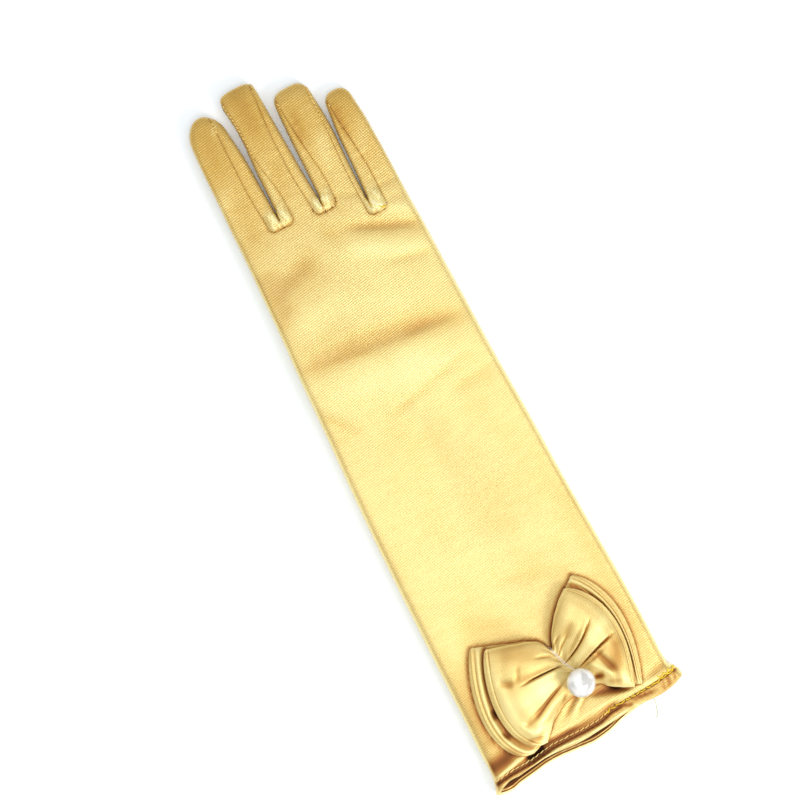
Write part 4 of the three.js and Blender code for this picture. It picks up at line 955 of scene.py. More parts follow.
BACK_FOLDS = [
    dict(name="left pinch", x=-31, y=26, turn=80, long=2.2, wide=1.2, deep=0.4, tone=1.0),
    dict(name="lower left pinch", x=-30.6, y=16.2, turn=-60, long=2, wide=1.2, deep=0.4, tone=1.0),
    dict(name="lower end", x=-31, y=8.6, turn=-50, long=4, wide=1.6, deep=0.3, tone=0.5),
    dict(name="right pinch", x=25.2, y=51.6, turn=-45, long=2.6, wide=0.7, deep=0.4, tone=0.9),
    dict(name="lower right pinch", x=28.9, y=46, turn=-55, long=2, wide=0.9, deep=0.4, tone=0.8),
]
WAIST = (5.5 * MM, 27.8 * MM)
WAIST_THICKNESS = 2.4 * MM
BOW_CLOTH = 0.4 * MM
MOUTH_TURN = 0.9 * MM  # depth of the turned-in edge at a mouth
MOUTH_BAND = 4 * MM
GATHER_HEIGHT = 0.35 * MM
# waves: place from the mouth, width and depth in mm. setback: of the upper ply behind the lower, in mm.
BACK_BOW = dict(
    width=71 * MM, height=57 * MM, thickness=3.4 * MM, ribs=BACK_RIBS, creases=[], folds=BACK_FOLDS, under=None,
    setback=1.3,
    waves=[(1.1, 0.4, 0.3), (2.4, 1.0, -0.4), (4.4, 1.1, 0.5)],
)
FRONT_BOW = dict(
    width=60 * MM, height=52 * MM, thickness=5.2 * MM, ribs=FRONT_RIBS, creases=FRONT_CREASES, folds=FRONT_FOLDS,
    under=BACK_BOW, setback=1.1, waves=[(1.0, 0.35, 0.3)],
)


def back_under(x, y):
    """Height of the sleeve's back, without its dents, under the bow."""
    left, right = body_edges(y)
    across = np.clip((x - left) / (right - left), 0, 1)
    off = np.minimum(0.93, np.abs(2 * across - 1))
    return height_at(y) * mix(EDGE_SHARE, 1, back_of_body(off)) + np.maximum(0, wave_at(across, y))


def bow_thickness(bow, along):
    return mix(WAIST_THICKNESS, bow["thickness"], read(bow["ribs"], "full", along))


def bow_raise(bow, along):
    return REST_GAP + (REST_GAP + bow_thickness(bow["under"], along) if bow["under"] else 0)


def crease_depth(creases, x, y):
    """How far the creases press the cloth down at each point."""
    depth = np.zeros(x.shape)
    for crease in creases:
        line = np.array(crease["line"]) * MM
        best = np.full(x.shape, np.inf)
        side = np.zeros(x.shape)
        run = np.zeros(x.shape)
        spine = np.array([
            (1 - t) ** 2 * line[0] + 2 * t * (1 - t) * (2 * line[1] - (line[0] + line[2]) / 2) + t * t * line[2]
            for t in np.linspace(0, 1, 13)
        ])
        for i in range(len(spine) - 1):
            edge = spine[i + 1] - spine[i]
            t = ((x - spine[i, 0]) * edge[0] + (y - spine[i, 1]) * edge[1]) / (edge @ edge)
            t = np.clip(t, 0, 1)
            dx = x - spine[i, 0] - t * edge[0]
            dy = y - spine[i, 1] - t * edge[1]
            distance = np.hypot(dx, dy)
            closer = distance < best
            best = np.where(closer, distance, best)
            side = np.where(closer, np.sign(edge[0] * dy - edge[1] * dx), side)
            run = np.where(closer, (i + t) / (len(spine) - 1), run)
        wide = crease["wide"] * MM * mix(0.6, 1.5, run)
        fade = 1 - smooth((run - 0.45) / 0.55)
        fade = fade * smooth(run / 0.35 + 0.33)
        depth += crease["deep"] * MM * bump(best, wide) * fade
        lifted = np.where(side > 0, 1 - bump(best, 0.5 * wide), 0) * np.exp(-best / (crease["reach"] * MM))
        depth -= crease["step"] * MM * lifted * fade
    return depth


def gathers(along, across):
    pleats = np.sin(across * 2 * math.pi * 6.5 + 0.9 * np.sin(9 * across)) * bump(along, 0.16)
    return GATHER_HEIGHT * pleats


def mouth_waves(bow, to_mouth):
    """The cloth by a mouth lies in low waves along its edge."""
    wave = sum(deep * bump(to_mouth - place * MM, wide * MM) for place, wide, deep in bow["waves"])
    return wave * MM


def bow_points(bow, layer, along, inset, draw, across):
    """The rows of one ply. draw: how far a row is drawn back from its mouth."""
    along, inset, draw, across = along[:, None], inset[:, None], draw[:, None], across[None, :]
    at = {column: read(bow["ribs"], column, along) for column in FRONT_RIBS[0] if column != "along"}
    side = inset + 0.45 * np.maximum(0, draw - MOUTH_TURN)
    share = mix(side / bow["height"], 1 - side / bow["height"], across)
    top = np.array([at["top_x"] * bow["width"], at["top_y"] * bow["height"]])
    bottom = np.array([at["bottom_x"] * bow["width"], at["bottom_y"] * bow["height"]])
    rib = bottom - top
    length = np.hypot(*rib)
    out = np.array([-rib[1], rib[0]]) / length * np.sign(along)
    off = np.abs(2 * across - 1)
    sunk = share ** at["sag"]
    arc = (4 * sunk * (1 - sunk)) ** at["curve"] * at["bulge"] * bow["width"] - draw
    if layer > 0:
        arc = arc - bow["setback"] * MM * smooth((np.abs(along) - 0.75) / 0.25) * (1 - off**8)
    x = WAIST[0] + top[0] + rib[0] * share + out[0] * arc
    y = WAIST[1] + top[1] + rib[1] * share + out[1] * arc
    half = WAIST_THICKNESS / 2
    middle = back_under(x, y) + bow_raise(bow, along) + half
    if layer < 0:
        return np.stack([x, y, middle - (half - inset) * palm_of(off)], axis=-1)
    to_mouth = (1 - np.abs(along)) * bow["width"] * 0.45
    rise = bow_thickness(bow, along) - half - crease_depth(bow["creases"], x, y) + gathers(along, share)
    rise = rise - mouth_waves(bow, to_mouth) - folds_at(x, y, "deep", bow["folds"])
    rise = np.maximum(0.35 * half, rise)
    return np.stack([x, y, middle + (rise - inset) * np.sqrt(1 - off**4)], axis=-1)


def bow_net(bow, rows, columns):
    inner = np.sin(np.linspace(-1, 1, 2 * rows + 1) * math.pi / 2.6) / math.sin(math.pi / 2.6)
    turn = np.linspace(0, math.pi, 7)
    band_inset = np.r_[MOUTH_TURN, MOUTH_TURN, MOUTH_TURN / 2 * (1 + np.cos(turn[:-1]))]
    band_draw = np.r_[MOUTH_BAND, MOUTH_BAND / 2, MOUTH_TURN / 2 * (1 - np.sin(turn[:-1]))]
    along = np.r_[-np.ones(len(band_inset)), inner, np.ones(len(band_inset))]
    inset = np.r_[band_inset, np.zeros(len(inner)), band_inset[::-1]]
    turned = MOUTH_TURN / 2 * smooth((np.abs(inner) - 0.94) / 0.06)
    draw = np.r_[band_draw, turned, band_draw[::-1]]
    across = (1 - np.cos(np.linspace(0, 1, columns + 1) * math.pi)) / 2 * 0.4 + 0.6 * np.linspace(0, 1, columns + 1)
    net = Net()
    upper = net.add(bow_points(bow, 1, along, inset, draw, across))
    lower = net.add(bow_points(bow, -1, along, inset, draw, across))
    lower[:, 0] = upper[:, 0]
    lower[:, -1] = upper[:, -1]
    net.cover(upper)
    net.cover(lower, turned=True)
    rows_apart = np.linalg.norm(np.diff(net.points[upper], axis=0), axis=-1).mean(axis=1)
    run = np.r_[0, np.cumsum(rows_apart)]
    flat = np.stack(np.broadcast_arrays(run[:, None] - run[-1] / 2, across[None, :] * bow["height"]), axis=-1)
    # The bow's crease numbers are painted light: shade along the creases, the folds' tones, shade and highlight by
    # lean to the main lamp, shade in the valleys of the mouth's waves, and a painted highlight along the folded top
    # and bottom edges.
    pressed = crease_depth(bow["creases"], net.points[:, 0], net.points[:, 1]) / (1.1 * MM)
    pressed = np.clip(pressed, -0.3, 2) + folds_at(net.points[:, 0], net.points[:, 1], "tone", bow["folds"])
    pressed = pressed + 0.75 * painted_lean_light(normals_of(net.points, net.quads))
    to_mouth = (1 - np.abs(along)) * bow["width"] * 0.45
    waves = mouth_waves(bow, to_mouth)[:, None] / (0.7 * MM) * np.ones(columns + 1)
    from_edge = (1 - np.abs(2 * across - 1)) / 2 * bow["height"]
    waves = waves - 0.6 * bump(from_edge - 0.4 * MM, 0.5 * MM)
    crease = 0.12 + pressed + np.r_[waves.ravel(), waves.ravel()]
    return net, np.r_[flat.reshape(-1, 2), flat.reshape(-1, 2)] + 0.1, crease


# %% The two layers of the bow
bows = {}
for node, bow in [("bow_back", BACK_BOW), ("bow_front", FRONT_BOW)]:
    net, flat, crease = bow_net(bow, *((72, 118) if bow is FRONT_BOW else (60, 64)))
    bows[node] = make_object("cloth_" + node, net.points, net.quads, flat, crease)
    weld(bows[node])
    thicken(bows[node], BOW_CLOTH)

# %% [markdown]
# Where one layer of cloth lies close over another, hardly any light gets between them. The lower
# layer is darkest right beside the edge that lies on it, and the shade fades within a few millimetres.
# That shadow is painted into the lower cloth's crease numbers.

# %% Shade beside the edges that lie on the cloth
def bow_outline(bow):
    """The bow's outline in the plan: along its top edge, down one mouth, back below and up the other."""
    along = np.linspace(-1, 1, 60)
    across = np.linspace(0, 1, 30)
    flat = np.zeros(1)
    top = bow_points(bow, -1, along, 0 * along, 0 * along, flat)[:, 0, :2]
    bottom = bow_points(bow, -1, along, 0 * along, 0 * along, flat + 1)[:, 0, :2]
    right = bow_points(bow, -1, flat + 1, flat, flat, across)[0, :, :2]
    left = bow_points(bow, -1, flat - 1, flat, flat, across)[0, :, :2]
    return np.concatenate([top[:-1], right[:-1], bottom[:0:-1], left[:0:-1]])


def shade_beside(thing, outline, near, soft):
    """Paints shadow beside an outline, with the colour of a deep fold: near and soft are each a share and a reach."""
    mesh = thing.data
    points = np.zeros(len(mesh.vertices) * 3)
    mesh.vertices.foreach_get("co", points)
    points = points.reshape(-1, 3) - np.array(ORIGIN)
    crease = np.zeros(len(points))
    layer = mesh.attributes["crease"].data
    layer.foreach_get("value", crease)
    low, high = outline.min(axis=0) - 9 * MM, outline.max(axis=0) + 9 * MM
    ids = np.flatnonzero(np.all((points[:, :2] > low) & (points[:, :2] < high), axis=1))
    distance, foot, _ = nearest_on(outline, points[ids, :2])
    away = (points[ids, :2] - foot) / np.maximum(1e-9, np.abs(distance))[:, None]
    # The painted shadow is weaker on the side towards the main lamp.
    leeward = 0.55 - 0.45 * (away @ np.array([0.95, -0.3]))
    distance = np.maximum(0, distance)
    crease[ids] += near[0] * bump(distance, near[1]) + soft[0] * np.exp(-distance / soft[1]) * leeward
    layer.foreach_set("value", crease.astype(np.float32))


# Painted shadow of the bow on the sleeve, and of the front layer on the back layer.
shade_beside(glove_pieces["glove_body"], bow_outline(BACK_BOW), (0.75, 0.8 * MM), (0.75, 2.2 * MM))
shade_beside(glove_pieces["glove_body"], bow_outline(FRONT_BOW), (0.4, 0.8 * MM), (0.3, 2.2 * MM))
shade_beside(bows["bow_back"], bow_outline(FRONT_BOW), (0.6, 1.0 * MM), (0.35, 2.2 * MM))
print("shaded beside the bow")

# %% [markdown]
# The bead is a drilled sphere. Its outline, an arc and the straight wall of the hole, is turned round
# the hole's axis, which lies along the glove so that the thread can run in from above.

# %% The bead
BEAD_RADIUS = 6 * MM
BEAD_HOLE = 0.8 * MM


def bead_mesh(around=56, down=36):
    low, high = [Vector(corner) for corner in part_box("pearl_bead")]
    start = math.asin(BEAD_HOLE / BEAD_RADIUS)
    angle = np.linspace(start, math.pi - start, down)
    radius = np.r_[BEAD_RADIUS * np.sin(angle), BEAD_HOLE * np.ones(2)]
    run = np.r_[BEAD_RADIUS * np.cos(angle), -BEAD_RADIUS * math.cos(start) * np.array([0.4, -0.4])]
    spin = np.linspace(0, 2 * math.pi, around, endpoint=False)
    grid = np.stack(np.broadcast_arrays(
        radius[:, None] * np.sin(spin), run[:, None] + 0 * spin, radius[:, None] * np.cos(spin)
    ), axis=-1)
    net = Net()
    numbers = net.add(grid + np.array((low + high) / 2) - np.array(ORIGIN))
    numbers = np.c_[numbers, numbers[:, 0]]
    numbers = np.r_[numbers, numbers[:1]]
    net.cover(numbers)
    bead = make_object("bead", net.points, net.quads)
    weld(bead)
    return bead


bead = bead_mesh()
print("bead box", [round(v, 4) for v in bead.dimensions])

# %% [markdown]
# Stitches repeat along a path, which is what Geometry Nodes are for. One small tree makes any row of
# them: the path becomes a curve, points are spaced along it by the pitch, and a short bent piece of
# thread is set on each point, turned along the path, leaned to one side and the other, and jittered a
# little by a fixed seed. A second tree gives a path the round body of a loose thread.

# %% Helpers for node trees of geometry
class Tree:
    """A tree of geometry nodes with named inputs."""

    def __init__(self, name, inputs):
        self.group = bpy.data.node_groups.new(name, "GeometryNodeTree")
        face = self.group.interface
        face.new_socket(name="Path", in_out="INPUT", socket_type="NodeSocketGeometry")
        for label, (kind, value) in inputs.items():
            socket = face.new_socket(name=label, in_out="INPUT", socket_type="NodeSocket" + kind)
            if value is not None:
                socket.default_value = value
        face.new_socket(name="Geometry", in_out="OUTPUT", socket_type="NodeSocketGeometry")
        self.inputs = self.group.nodes.new("NodeGroupInput").outputs
        self.end = self.group.nodes.new("NodeGroupOutput").inputs

    def add(self, kind, settings=None, values=None):
        """Adds a node with its settings and the values or links of its inputs, by name or number."""
        node = self.group.nodes.new(kind)
        for key, value in (settings or {}).items():
            setattr(node, key, value)
        for key, value in (values or {}).items():
            if isinstance(value, bpy.types.NodeSocket):
                self.group.links.new(value, node.inputs[key])
            else:
                node.inputs[key].default_value = value
        return node

    def finish(self, geometry):
        self.group.links.new(geometry, self.end[0])

    def run(self, name, paths, **values):
        """Runs the tree on paths, lists of points in the glove's plan, and returns a plain mesh object."""
        mesh = bpy.data.meshes.new(name)
        points = [tuple(Vector(point) + ORIGIN) for path in paths for point in path]
        edges = []
        for path in paths:
            start = len(edges) + len(paths[:paths.index(path)]) if edges else 0
            edges += [(start + i, start + i + 1) for i in range(len(path) - 1)]
        mesh.from_pydata(points, edges, [])
        thing = bpy.data.objects.new(name, mesh)
        bpy.context.scene.collection.objects.link(thing)
        modifier = thing.modifiers.new("tree", "NODES")
        modifier.node_group = self.group
        for socket in self.group.interface.items_tree:
            if socket.in_out == "INPUT" and socket.name in values:
                modifier[socket.identifier] = values[socket.name]
        return bake_modifiers(thing)


def stitch_tree():
    tree = Tree("row of stitches", {
        "Pitch": ("Float", 2.4 * MM),
        "Length": ("Float", 1.8 * MM),
        "Thickness": ("Float", 0.2 * MM),
        "Arch": ("Float", 0.25 * MM),
        "Lean": ("Float", 0.0),
        "Sway": ("Float", 0.0),
        "Jitter": ("Float", 0.1),
        "Seed": ("Int", 1),
        "Material": ("Material", None),
    })
    get = tree.inputs
    math_node = lambda how, a, b: tree.add("ShaderNodeMath", {"operation": how}, {0: a, 1: b}).outputs[0]
    half = math_node("MULTIPLY", get["Length"], 0.5)
    start = tree.add("ShaderNodeCombineXYZ", None, {"X": math_node("MULTIPLY", half, -1.0), "Z": -0.1 * MM})
    middle = tree.add("ShaderNodeCombineXYZ", None, {"Z": math_node("MULTIPLY", get["Arch"], 2.0)})
    end = tree.add("ShaderNodeCombineXYZ", None, {"X": half, "Z": -0.1 * MM})
    bend = tree.add("GeometryNodeCurveQuadraticBezier", None, {
        "Resolution": 4, "Start": start.outputs[0], "Middle": middle.outputs[0], "End": end.outputs[0]
    })
    round_ = tree.add("GeometryNodeCurvePrimitiveCircle", None, {
        "Resolution": 6, "Radius": math_node("MULTIPLY", get["Thickness"], 0.5)
    })
    thread = tree.add("GeometryNodeCurveToMesh", None, {
        "Curve": bend.outputs[0], "Profile Curve": round_.outputs[0], "Fill Caps": True
    })
    curve = tree.add("GeometryNodeMeshToCurve", None, {"Mesh": get["Path"]})
    spots = tree.add("GeometryNodeCurveToPoints", {"mode": "LENGTH"}, {
        "Curve": curve.outputs[0], "Length": get["Pitch"]
    })
    along = tree.add("FunctionNodeAlignRotationToVector", {"axis": "X"}, {"Vector": spots.outputs["Tangent"]})
    index = tree.add("GeometryNodeInputIndex").outputs[0]
    parity = math_node("MODULO", index, 2.0)
    sign = math_node("SUBTRACT", math_node("MULTIPLY", parity, 2.0), 1.0)
    spread = tree.add("FunctionNodeRandomValue", {"data_type": "FLOAT"}, {"ID": index, "Seed": get["Seed"]})
    spread.inputs[2].default_value = -1.0
    spread.inputs[3].default_value = 1.0
    noise = math_node("MULTIPLY", spread.outputs[1], get["Jitter"])
    angle = math_node("ADD", math_node("ADD", math_node("MULTIPLY", sign, get["Sway"]), get["Lean"]), noise)
    turn = tree.add("ShaderNodeCombineXYZ", None, {"Z": angle})
    turned = tree.add("FunctionNodeRotateRotation", {"rotation_space": "LOCAL"}, {
        "Rotation": along.outputs[0], "Rotate By": turn.outputs[0]
    })
    size = math_node("ADD", 1.0, math_node("MULTIPLY", noise, 0.8))
    rows = tree.add("GeometryNodeInstanceOnPoints", None, {
        "Points": spots.outputs["Points"], "Instance": thread.outputs[0],
        "Rotation": turned.outputs[0], "Scale": size,
    })
    real = tree.add("GeometryNodeRealizeInstances", None, {"Geometry": rows.outputs[0]})
    coloured = tree.add("GeometryNodeSetMaterial", None, {"Geometry": real.outputs[0], "Material": get["Material"]})
    smooth_node = tree.add("GeometryNodeSetShadeSmooth", None, {"Geometry": coloured.outputs[0]})
    tree.finish(smooth_node.outputs[0])
    return tree


def thread_tree():
    tree = Tree("loose thread", {
        "Thickness": ("Float", 0.3 * MM), "Step": ("Float", 0.4 * MM), "Material": ("Material", None)
    })
    get = tree.inputs
    curve = tree.add("GeometryNodeMeshToCurve", None, {"Mesh": get["Path"]})
    even = tree.add("GeometryNodeResampleCurve", {"mode": "LENGTH"}, {
        "Curve": curve.outputs[0], "Length": get["Step"]
    })
    half = tree.add("ShaderNodeMath", {"operation": "MULTIPLY"}, {0: get["Thickness"], 1: 0.5})
    round_ = tree.add("GeometryNodeCurvePrimitiveCircle", None, {"Resolution": 7, "Radius": half.outputs[0]})
    body = tree.add("GeometryNodeCurveToMesh", None, {
        "Curve": even.outputs[0], "Profile Curve": round_.outputs[0], "Fill Caps": True
    })
    real = tree.add("GeometryNodeRealizeInstances", None, {"Geometry": body.outputs[0]})
    coloured = tree.add("GeometryNodeSetMaterial", None, {"Geometry": real.outputs[0], "Material": get["Material"]})
    smooth_node = tree.add("GeometryNodeSetShadeSmooth", None, {"Geometry": coloured.outputs[0]})
    tree.finish(smooth_node.outputs[0])
    return tree


stitches = stitch_tree()
threads = thread_tree()
print("trees:", stitches.group.name, "and", threads.group.name)

# %% [markdown]
# In a material, each pattern is a sum of waves and noise over the cloth's own coordinates. Sums are
# hard to read as rows of Math nodes, so a small class stands for a number on its way through the
# material, and plain arithmetic on it makes the nodes.

# %% Helpers for materials
class Wire:
    """A number in a material. Arithmetic on it adds Math nodes."""

    def __init__(self, finish, socket):
        self.finish = finish
        self.socket = socket

    def _math(self, how, *others):
        node = self.finish.add("ShaderNodeMath", {"operation": how}, dict(enumerate((self, *others))))
        return Wire(self.finish, node.outputs[0])

    def _reflected(self, how, other):
        node = self.finish.add("ShaderNodeMath", {"operation": how}, {0: other, 1: self})
        return Wire(self.finish, node.outputs[0])

    def __add__(self, other):
        return self._math("ADD", other)

    def __sub__(self, other):
        return self._math("SUBTRACT", other)

    def __mul__(self, other):
        return self._math("MULTIPLY", other)

    def __truediv__(self, other):
        return self._math("DIVIDE", other)

    def __pow__(self, other):
        return self._math("POWER", other)

    def __rsub__(self, other):
        return self._reflected("SUBTRACT", other)

    def __rtruediv__(self, other):
        return self._reflected("DIVIDE", other)

    __radd__ = __add__
    __rmul__ = __mul__

    def sine(self):
        return self._math("SINE")

    def kept(self):
        """Held between 0 and 1."""
        node = self.finish.add("ShaderNodeClamp", None, {"Value": self})
        return Wire(self.finish, node.outputs[0])


class Finish:
    """A material round one Principled shader. Constants go on the shader's own sockets."""

    def __init__(self, name, **constants):
        self.material = bpy.data.materials.new(name)
        self.material.use_nodes = True
        self.tree = self.material.node_tree
        self.shader = self.tree.nodes["Principled BSDF"]
        for key, value in constants.items():
            self.shader.inputs[key.replace("_", " ")].default_value = value

    def add(self, kind, settings=None, values=None):
        """Adds a node with its settings and the values or links of its inputs, by name or number."""
        node = self.tree.nodes.new(kind)
        for key, value in (settings or {}).items():
            setattr(node, key, value)
        for key, value in (values or {}).items():
            self.feed(node.inputs[key], value)
        return node

    def feed(self, socket, value):
        if isinstance(value, Wire):
            value = value.socket
        if isinstance(value, bpy.types.NodeSocket):
            self.tree.links.new(value, socket)
        else:
            socket.default_value = value

    def cloth_place(self):
        """The place on the cloth, in mm: across the glove and along it."""
        place = self.add("ShaderNodeUVMap", {"uv_map": "cloth"})
        parts = self.add("ShaderNodeSeparateXYZ", None, {0: place.outputs[0]})
        return Wire(self, parts.outputs[0]) * 1000, Wire(self, parts.outputs[1]) * 1000

    def attribute(self, name):
        node = self.add("ShaderNodeAttribute", {"attribute_name": name})
        return Wire(self, node.outputs["Fac"])

    def noise(self, x, y, scale, detail=2.0, z=0.0):
        place = self.add("ShaderNodeCombineXYZ", None, {0: x, 1: y, 2: z})
        node = self.add("ShaderNodeTexNoise", None, {"Vector": place.outputs[0], "Scale": scale, "Detail": detail})
        return Wire(self, node.outputs[0])

    def solid_noise(self, scale, detail=2.0):
        place = self.add("ShaderNodeTexCoord").outputs["Object"]
        node = self.add("ShaderNodeTexNoise", None, {"Vector": place, "Scale": scale, "Detail": detail})
        return Wire(self, node.outputs[0])

    def colour_mix(self, share, first, second):
        node = self.add("ShaderNodeMix", {"data_type": "RGBA"}, {0: share, 6: first, 7: second})
        return node.outputs[2]

    def raise_by(self, height, distance, strength=1.0):
        node = self.add("ShaderNodeBump", None, {"Height": height, "Distance": distance, "Strength": strength})
        self.feed(self.shader.inputs["Normal"], node.outputs[0])


# %% [markdown]
# Satin is woven so that long threads float on top. They run one way, so light glides along them: broad
# soft highlights with fine ribs across. Its colour carries painted light from the crease numbers: a
# painted highlight of light yellow, and painted shade of deep orange in folds that turns almost black
# in slits and hollows. Ribs, the crossing threads and slow changes of colour are all waves over the
# cloth's coordinates, which follow the cloth round the hand.

# %% Satin
def satin(name, rib_pitch, rib_share, thread_pitch, roughness=0.38, metallic=0.4, contrast=1.0):
    """Woven satin. Its crease attribute is painted light: 0 is open cloth, above it painted shade that deepens to
    almost black, and below 0 a painted highlight.
    """
    finish = Finish(name, Sheen_Weight=0.06, Sheen_Roughness=0.4, Sheen_Tint=(1, 0.8, 0.4, 1))
    finish.shader.inputs["Specular Tint"].default_value = (1, 0.88, 0.6, 1)
    finish.shader.inputs["Specular IOR Level"].default_value = 0.7
    finish.shader.inputs["Anisotropic"].default_value = 0.4
    u, v = finish.cloth_place()
    drift = finish.noise(u, v, 0.03, 1.0) * 0.8
    ribs = ((v - u * 0.17 + drift) * (2 * math.pi / rib_pitch)).sine()
    floats = ((u + v * 0.35 + drift * 0.5) * (2 * math.pi / thread_pitch)).sine()
    grain = finish.noise(u * 1.5, v * 1.9, 1.0, 3.0)
    slow = finish.noise(u * 0.05, v * 0.03, 1.0, 3.0)
    streak = finish.noise(u * 0.11, v * 0.3, 1.0, 2.0, 4.0)
    hand = ((v - 150) / 70).kept() * 0.45 + 0.55
    weave = (ribs * rib_share + floats * (1 - rib_share)) * hand
    crease = finish.attribute("crease")
    # Slow random changes of tone, plus painted shade that darkens the cloth towards the fingertips.
    slow_tone_and_tip_shade = (slow - 0.5) * 0.4 + (streak - 0.5) * 0.24 - ((v - 245) / 50).kept() * 0.42
    tone = (0.64 + weave * (0.06 + 0.3 * contrast) + slow_tone_and_tip_shade + (grain - 0.5) * 1.2 * contrast - crease * 0.6).kept()
    # Painted shade: deep gold where the crease numbers mark a fold, almost black where they mark a slit or hollow, and
    # a painted highlight where they are below zero.
    deep = (crease * 0.9 - 0.25 + (grain - 0.5) * 0.2).kept()
    black_shade = (crease * 0.9 - 1.1).kept()
    open_cloth = finish.colour_mix(tone, GOLD_DARK, GOLD_LIGHT)
    painted_highlight = ((0 - crease - 0.7) * 0.8).kept()
    open_cloth = finish.colour_mix(painted_highlight, open_cloth, GOLD_PAINTED_HIGHLIGHT)
    folded = finish.colour_mix(deep, open_cloth, GOLD_PAINTED_SHADE)
    finish.feed(finish.shader.inputs["Base Color"], finish.colour_mix(black_shade, folded, BLACK_PAINTED_SHADE))
    # The almost black painted shade is also made rougher and fully metallic, so that it reflects little.
    rough = roughness + (slow - 0.5) * 0.1 + (grain - 0.5) * 0.14 * contrast + black_shade * 0.3
    finish.feed(finish.shader.inputs["Roughness"], rough.kept())
    finish.feed(finish.shader.inputs["Metallic"], metallic + black_shade * (1 - metallic))
    finish.raise_by(weave * (0.05 + 0.7 * contrast**2) + grain * 0.9 * contrast**2 + streak * 0.6, 0.1 * MM)
    return finish.material


# Light and dark gold are the ends of the open cloth's tone, which holds the weave, random tone and the painted light
# of the crease numbers. The brightest gold is a painted highlight, deep gold painted shade in folds and the darkest
# colour painted shade in slits and hollows.
GOLD_LIGHT = (0.92, 0.76, 0.33, 1.0)
GOLD_PAINTED_HIGHLIGHT = (1.0, 0.93, 0.6, 1.0)
GOLD_DARK = (0.57, 0.32, 0.05, 1.0)
GOLD_PAINTED_SHADE = (0.32, 0.1, 0.018, 1.0)
BLACK_PAINTED_SHADE = (0.03, 0.01, 0.005, 1.0)
body_satin = satin("satin_of_the_body", 0.92, 0.75, 0.95)
strip_satin = satin("satin_of_the_strips", 0.92, 0.7, 0.9)
bow_satin = satin("satin_of_the_bow", 0.86, 0.5, 0.86, 0.42, 0.4, 0.7)


def thread_finish(name, colour, deep, roughness=0.45):
    finish = Finish(name, Sheen_Weight=0.08)
    twist = finish.solid_noise(2600.0, 2.0)
    finish.feed(finish.shader.inputs["Base Color"], finish.colour_mix(twist, deep, colour))
    finish.feed(finish.shader.inputs["Roughness"], (roughness + (twist - 0.5) * 0.3).kept())
    finish.raise_by(twist, 0.05 * MM)
    return finish.material


yellow_thread = thread_finish("yellow_thread", (0.9, 0.68, 0.015, 1), (0.75, 0.47, 0.01, 1))
gold_thread = thread_finish("gold_thread", (1.0, 0.78, 0.3, 1), (0.92, 0.6, 0.15, 1))
brown_thread = thread_finish("brown_thread", (0.3, 0.09, 0.02, 1), (0.12, 0.03, 0.01, 1))
pale_thread = thread_finish("pale_thread", (1.0, 0.95, 0.86, 1), (0.86, 0.74, 0.56, 1))
tail_thread = thread_finish("tail_thread", (0.6, 0.58, 0.16, 1), (0.42, 0.4, 0.08, 1))


def pearl_finish():
    finish = Finish("pearl", Coat_Weight=1.0, Coat_Roughness=0.05, Subsurface_Weight=0.1)
    finish.shader.inputs["Subsurface Radius"].default_value = (0.004, 0.003, 0.0025)
    # Painted light on the bead: a darker rim painted where its surface turns away from view, and grey patches of
    # painted reflection over its white.
    painted_rim_shade = finish.add("ShaderNodeLayerWeight", None, {"Blend": 0.4}).outputs["Facing"]
    swirl = finish.solid_noise(190.0, 1.0)
    reflection_patches = ((swirl - 0.42) * 6).kept()
    body = finish.colour_mix(reflection_patches, (0.56, 0.54, 0.51, 1), (0.97, 0.95, 0.91, 1))
    rim = finish.colour_mix(Wire(finish, painted_rim_shade) * 0.7, body, (0.62, 0.55, 0.5, 1))
    finish.feed(finish.shader.inputs["Base Color"], rim)
    finish.feed(finish.shader.inputs["Roughness"], (0.18 + (swirl - 0.5) * 0.08).kept())
    finish.raise_by(swirl, 0.02 * MM)
    return finish.material


pearl = pearl_finish()
print("materials:", len(bpy.data.materials))

# %% Give the pieces their finish
def dress(thing, material):
    thing.data.materials.clear()
    thing.data.materials.append(material)


dress(glove_pieces["glove_body"], body_satin)
for strip in FOURCHETTES:
    dress(glove_pieces[strip["name"]], strip_satin)
dress(thumb, body_satin)
for thing in bows.values():
    dress(thing, bow_satin)
dress(bead, pearl)

# %% [markdown]
# Every row of stitches lies on cloth that already has its folds. So a path is drawn in the plan, and
# a ray from above finds the height of the highest cloth at each of its points.

# %% Paths on the cloth
bpy.context.view_layer.update()
graph = bpy.context.evaluated_depsgraph_get()
cloth_trees = {
    name: [BVHTree.FromObject(thing, graph) for thing in things]
    for name, things in [("glove", list(glove_pieces.values())), ("bow", list(bows.values()))]
}


def top_at(x, y, cloths=("glove",)):
    """Height of the highest cloth at a point of the plan, in the plan."""
    start = ORIGIN + Vector((x, y, 0.1))
    hits = [tree.ray_cast(start, Vector((0, 0, -1)))[0] for name in cloths for tree in cloth_trees[name]]
    heights = [hit.z - ORIGIN.z for hit in hits if hit is not None]
    return max(heights) if heights else None


def laid_path(points, above=0.14, step=0.5, cloths=("glove",)):
    """A path through points of the plan in mm, resampled and laid on the cloth."""
    points = np.array(points, float)
    run = np.r_[0, np.cumsum(np.hypot(*np.diff(points, axis=0).T))]
    at = np.linspace(0, run[-1], max(2, int(run[-1] / step) + 1))
    path = []
    for x, y in zip(np.interp(at, run, points[:, 0]) * MM, np.interp(at, run, points[:, 1]) * MM):
        z = top_at(x, y, cloths)
        if z is not None:
            path.append((x, y, z + above * MM))
    return path


YELLOW_FROM = 10  # mm across: from here on the hem's thread shows bright yellow
left_hem = [p for p in HEM_LINE if p[0] <= YELLOW_FROM] + [(YELLOW_FROM, 4.8)]
right_hem = [(YELLOW_FROM, 4.8)] + [p for p in HEM_LINE if p[0] > YELLOW_FROM]
stitch_pieces = []


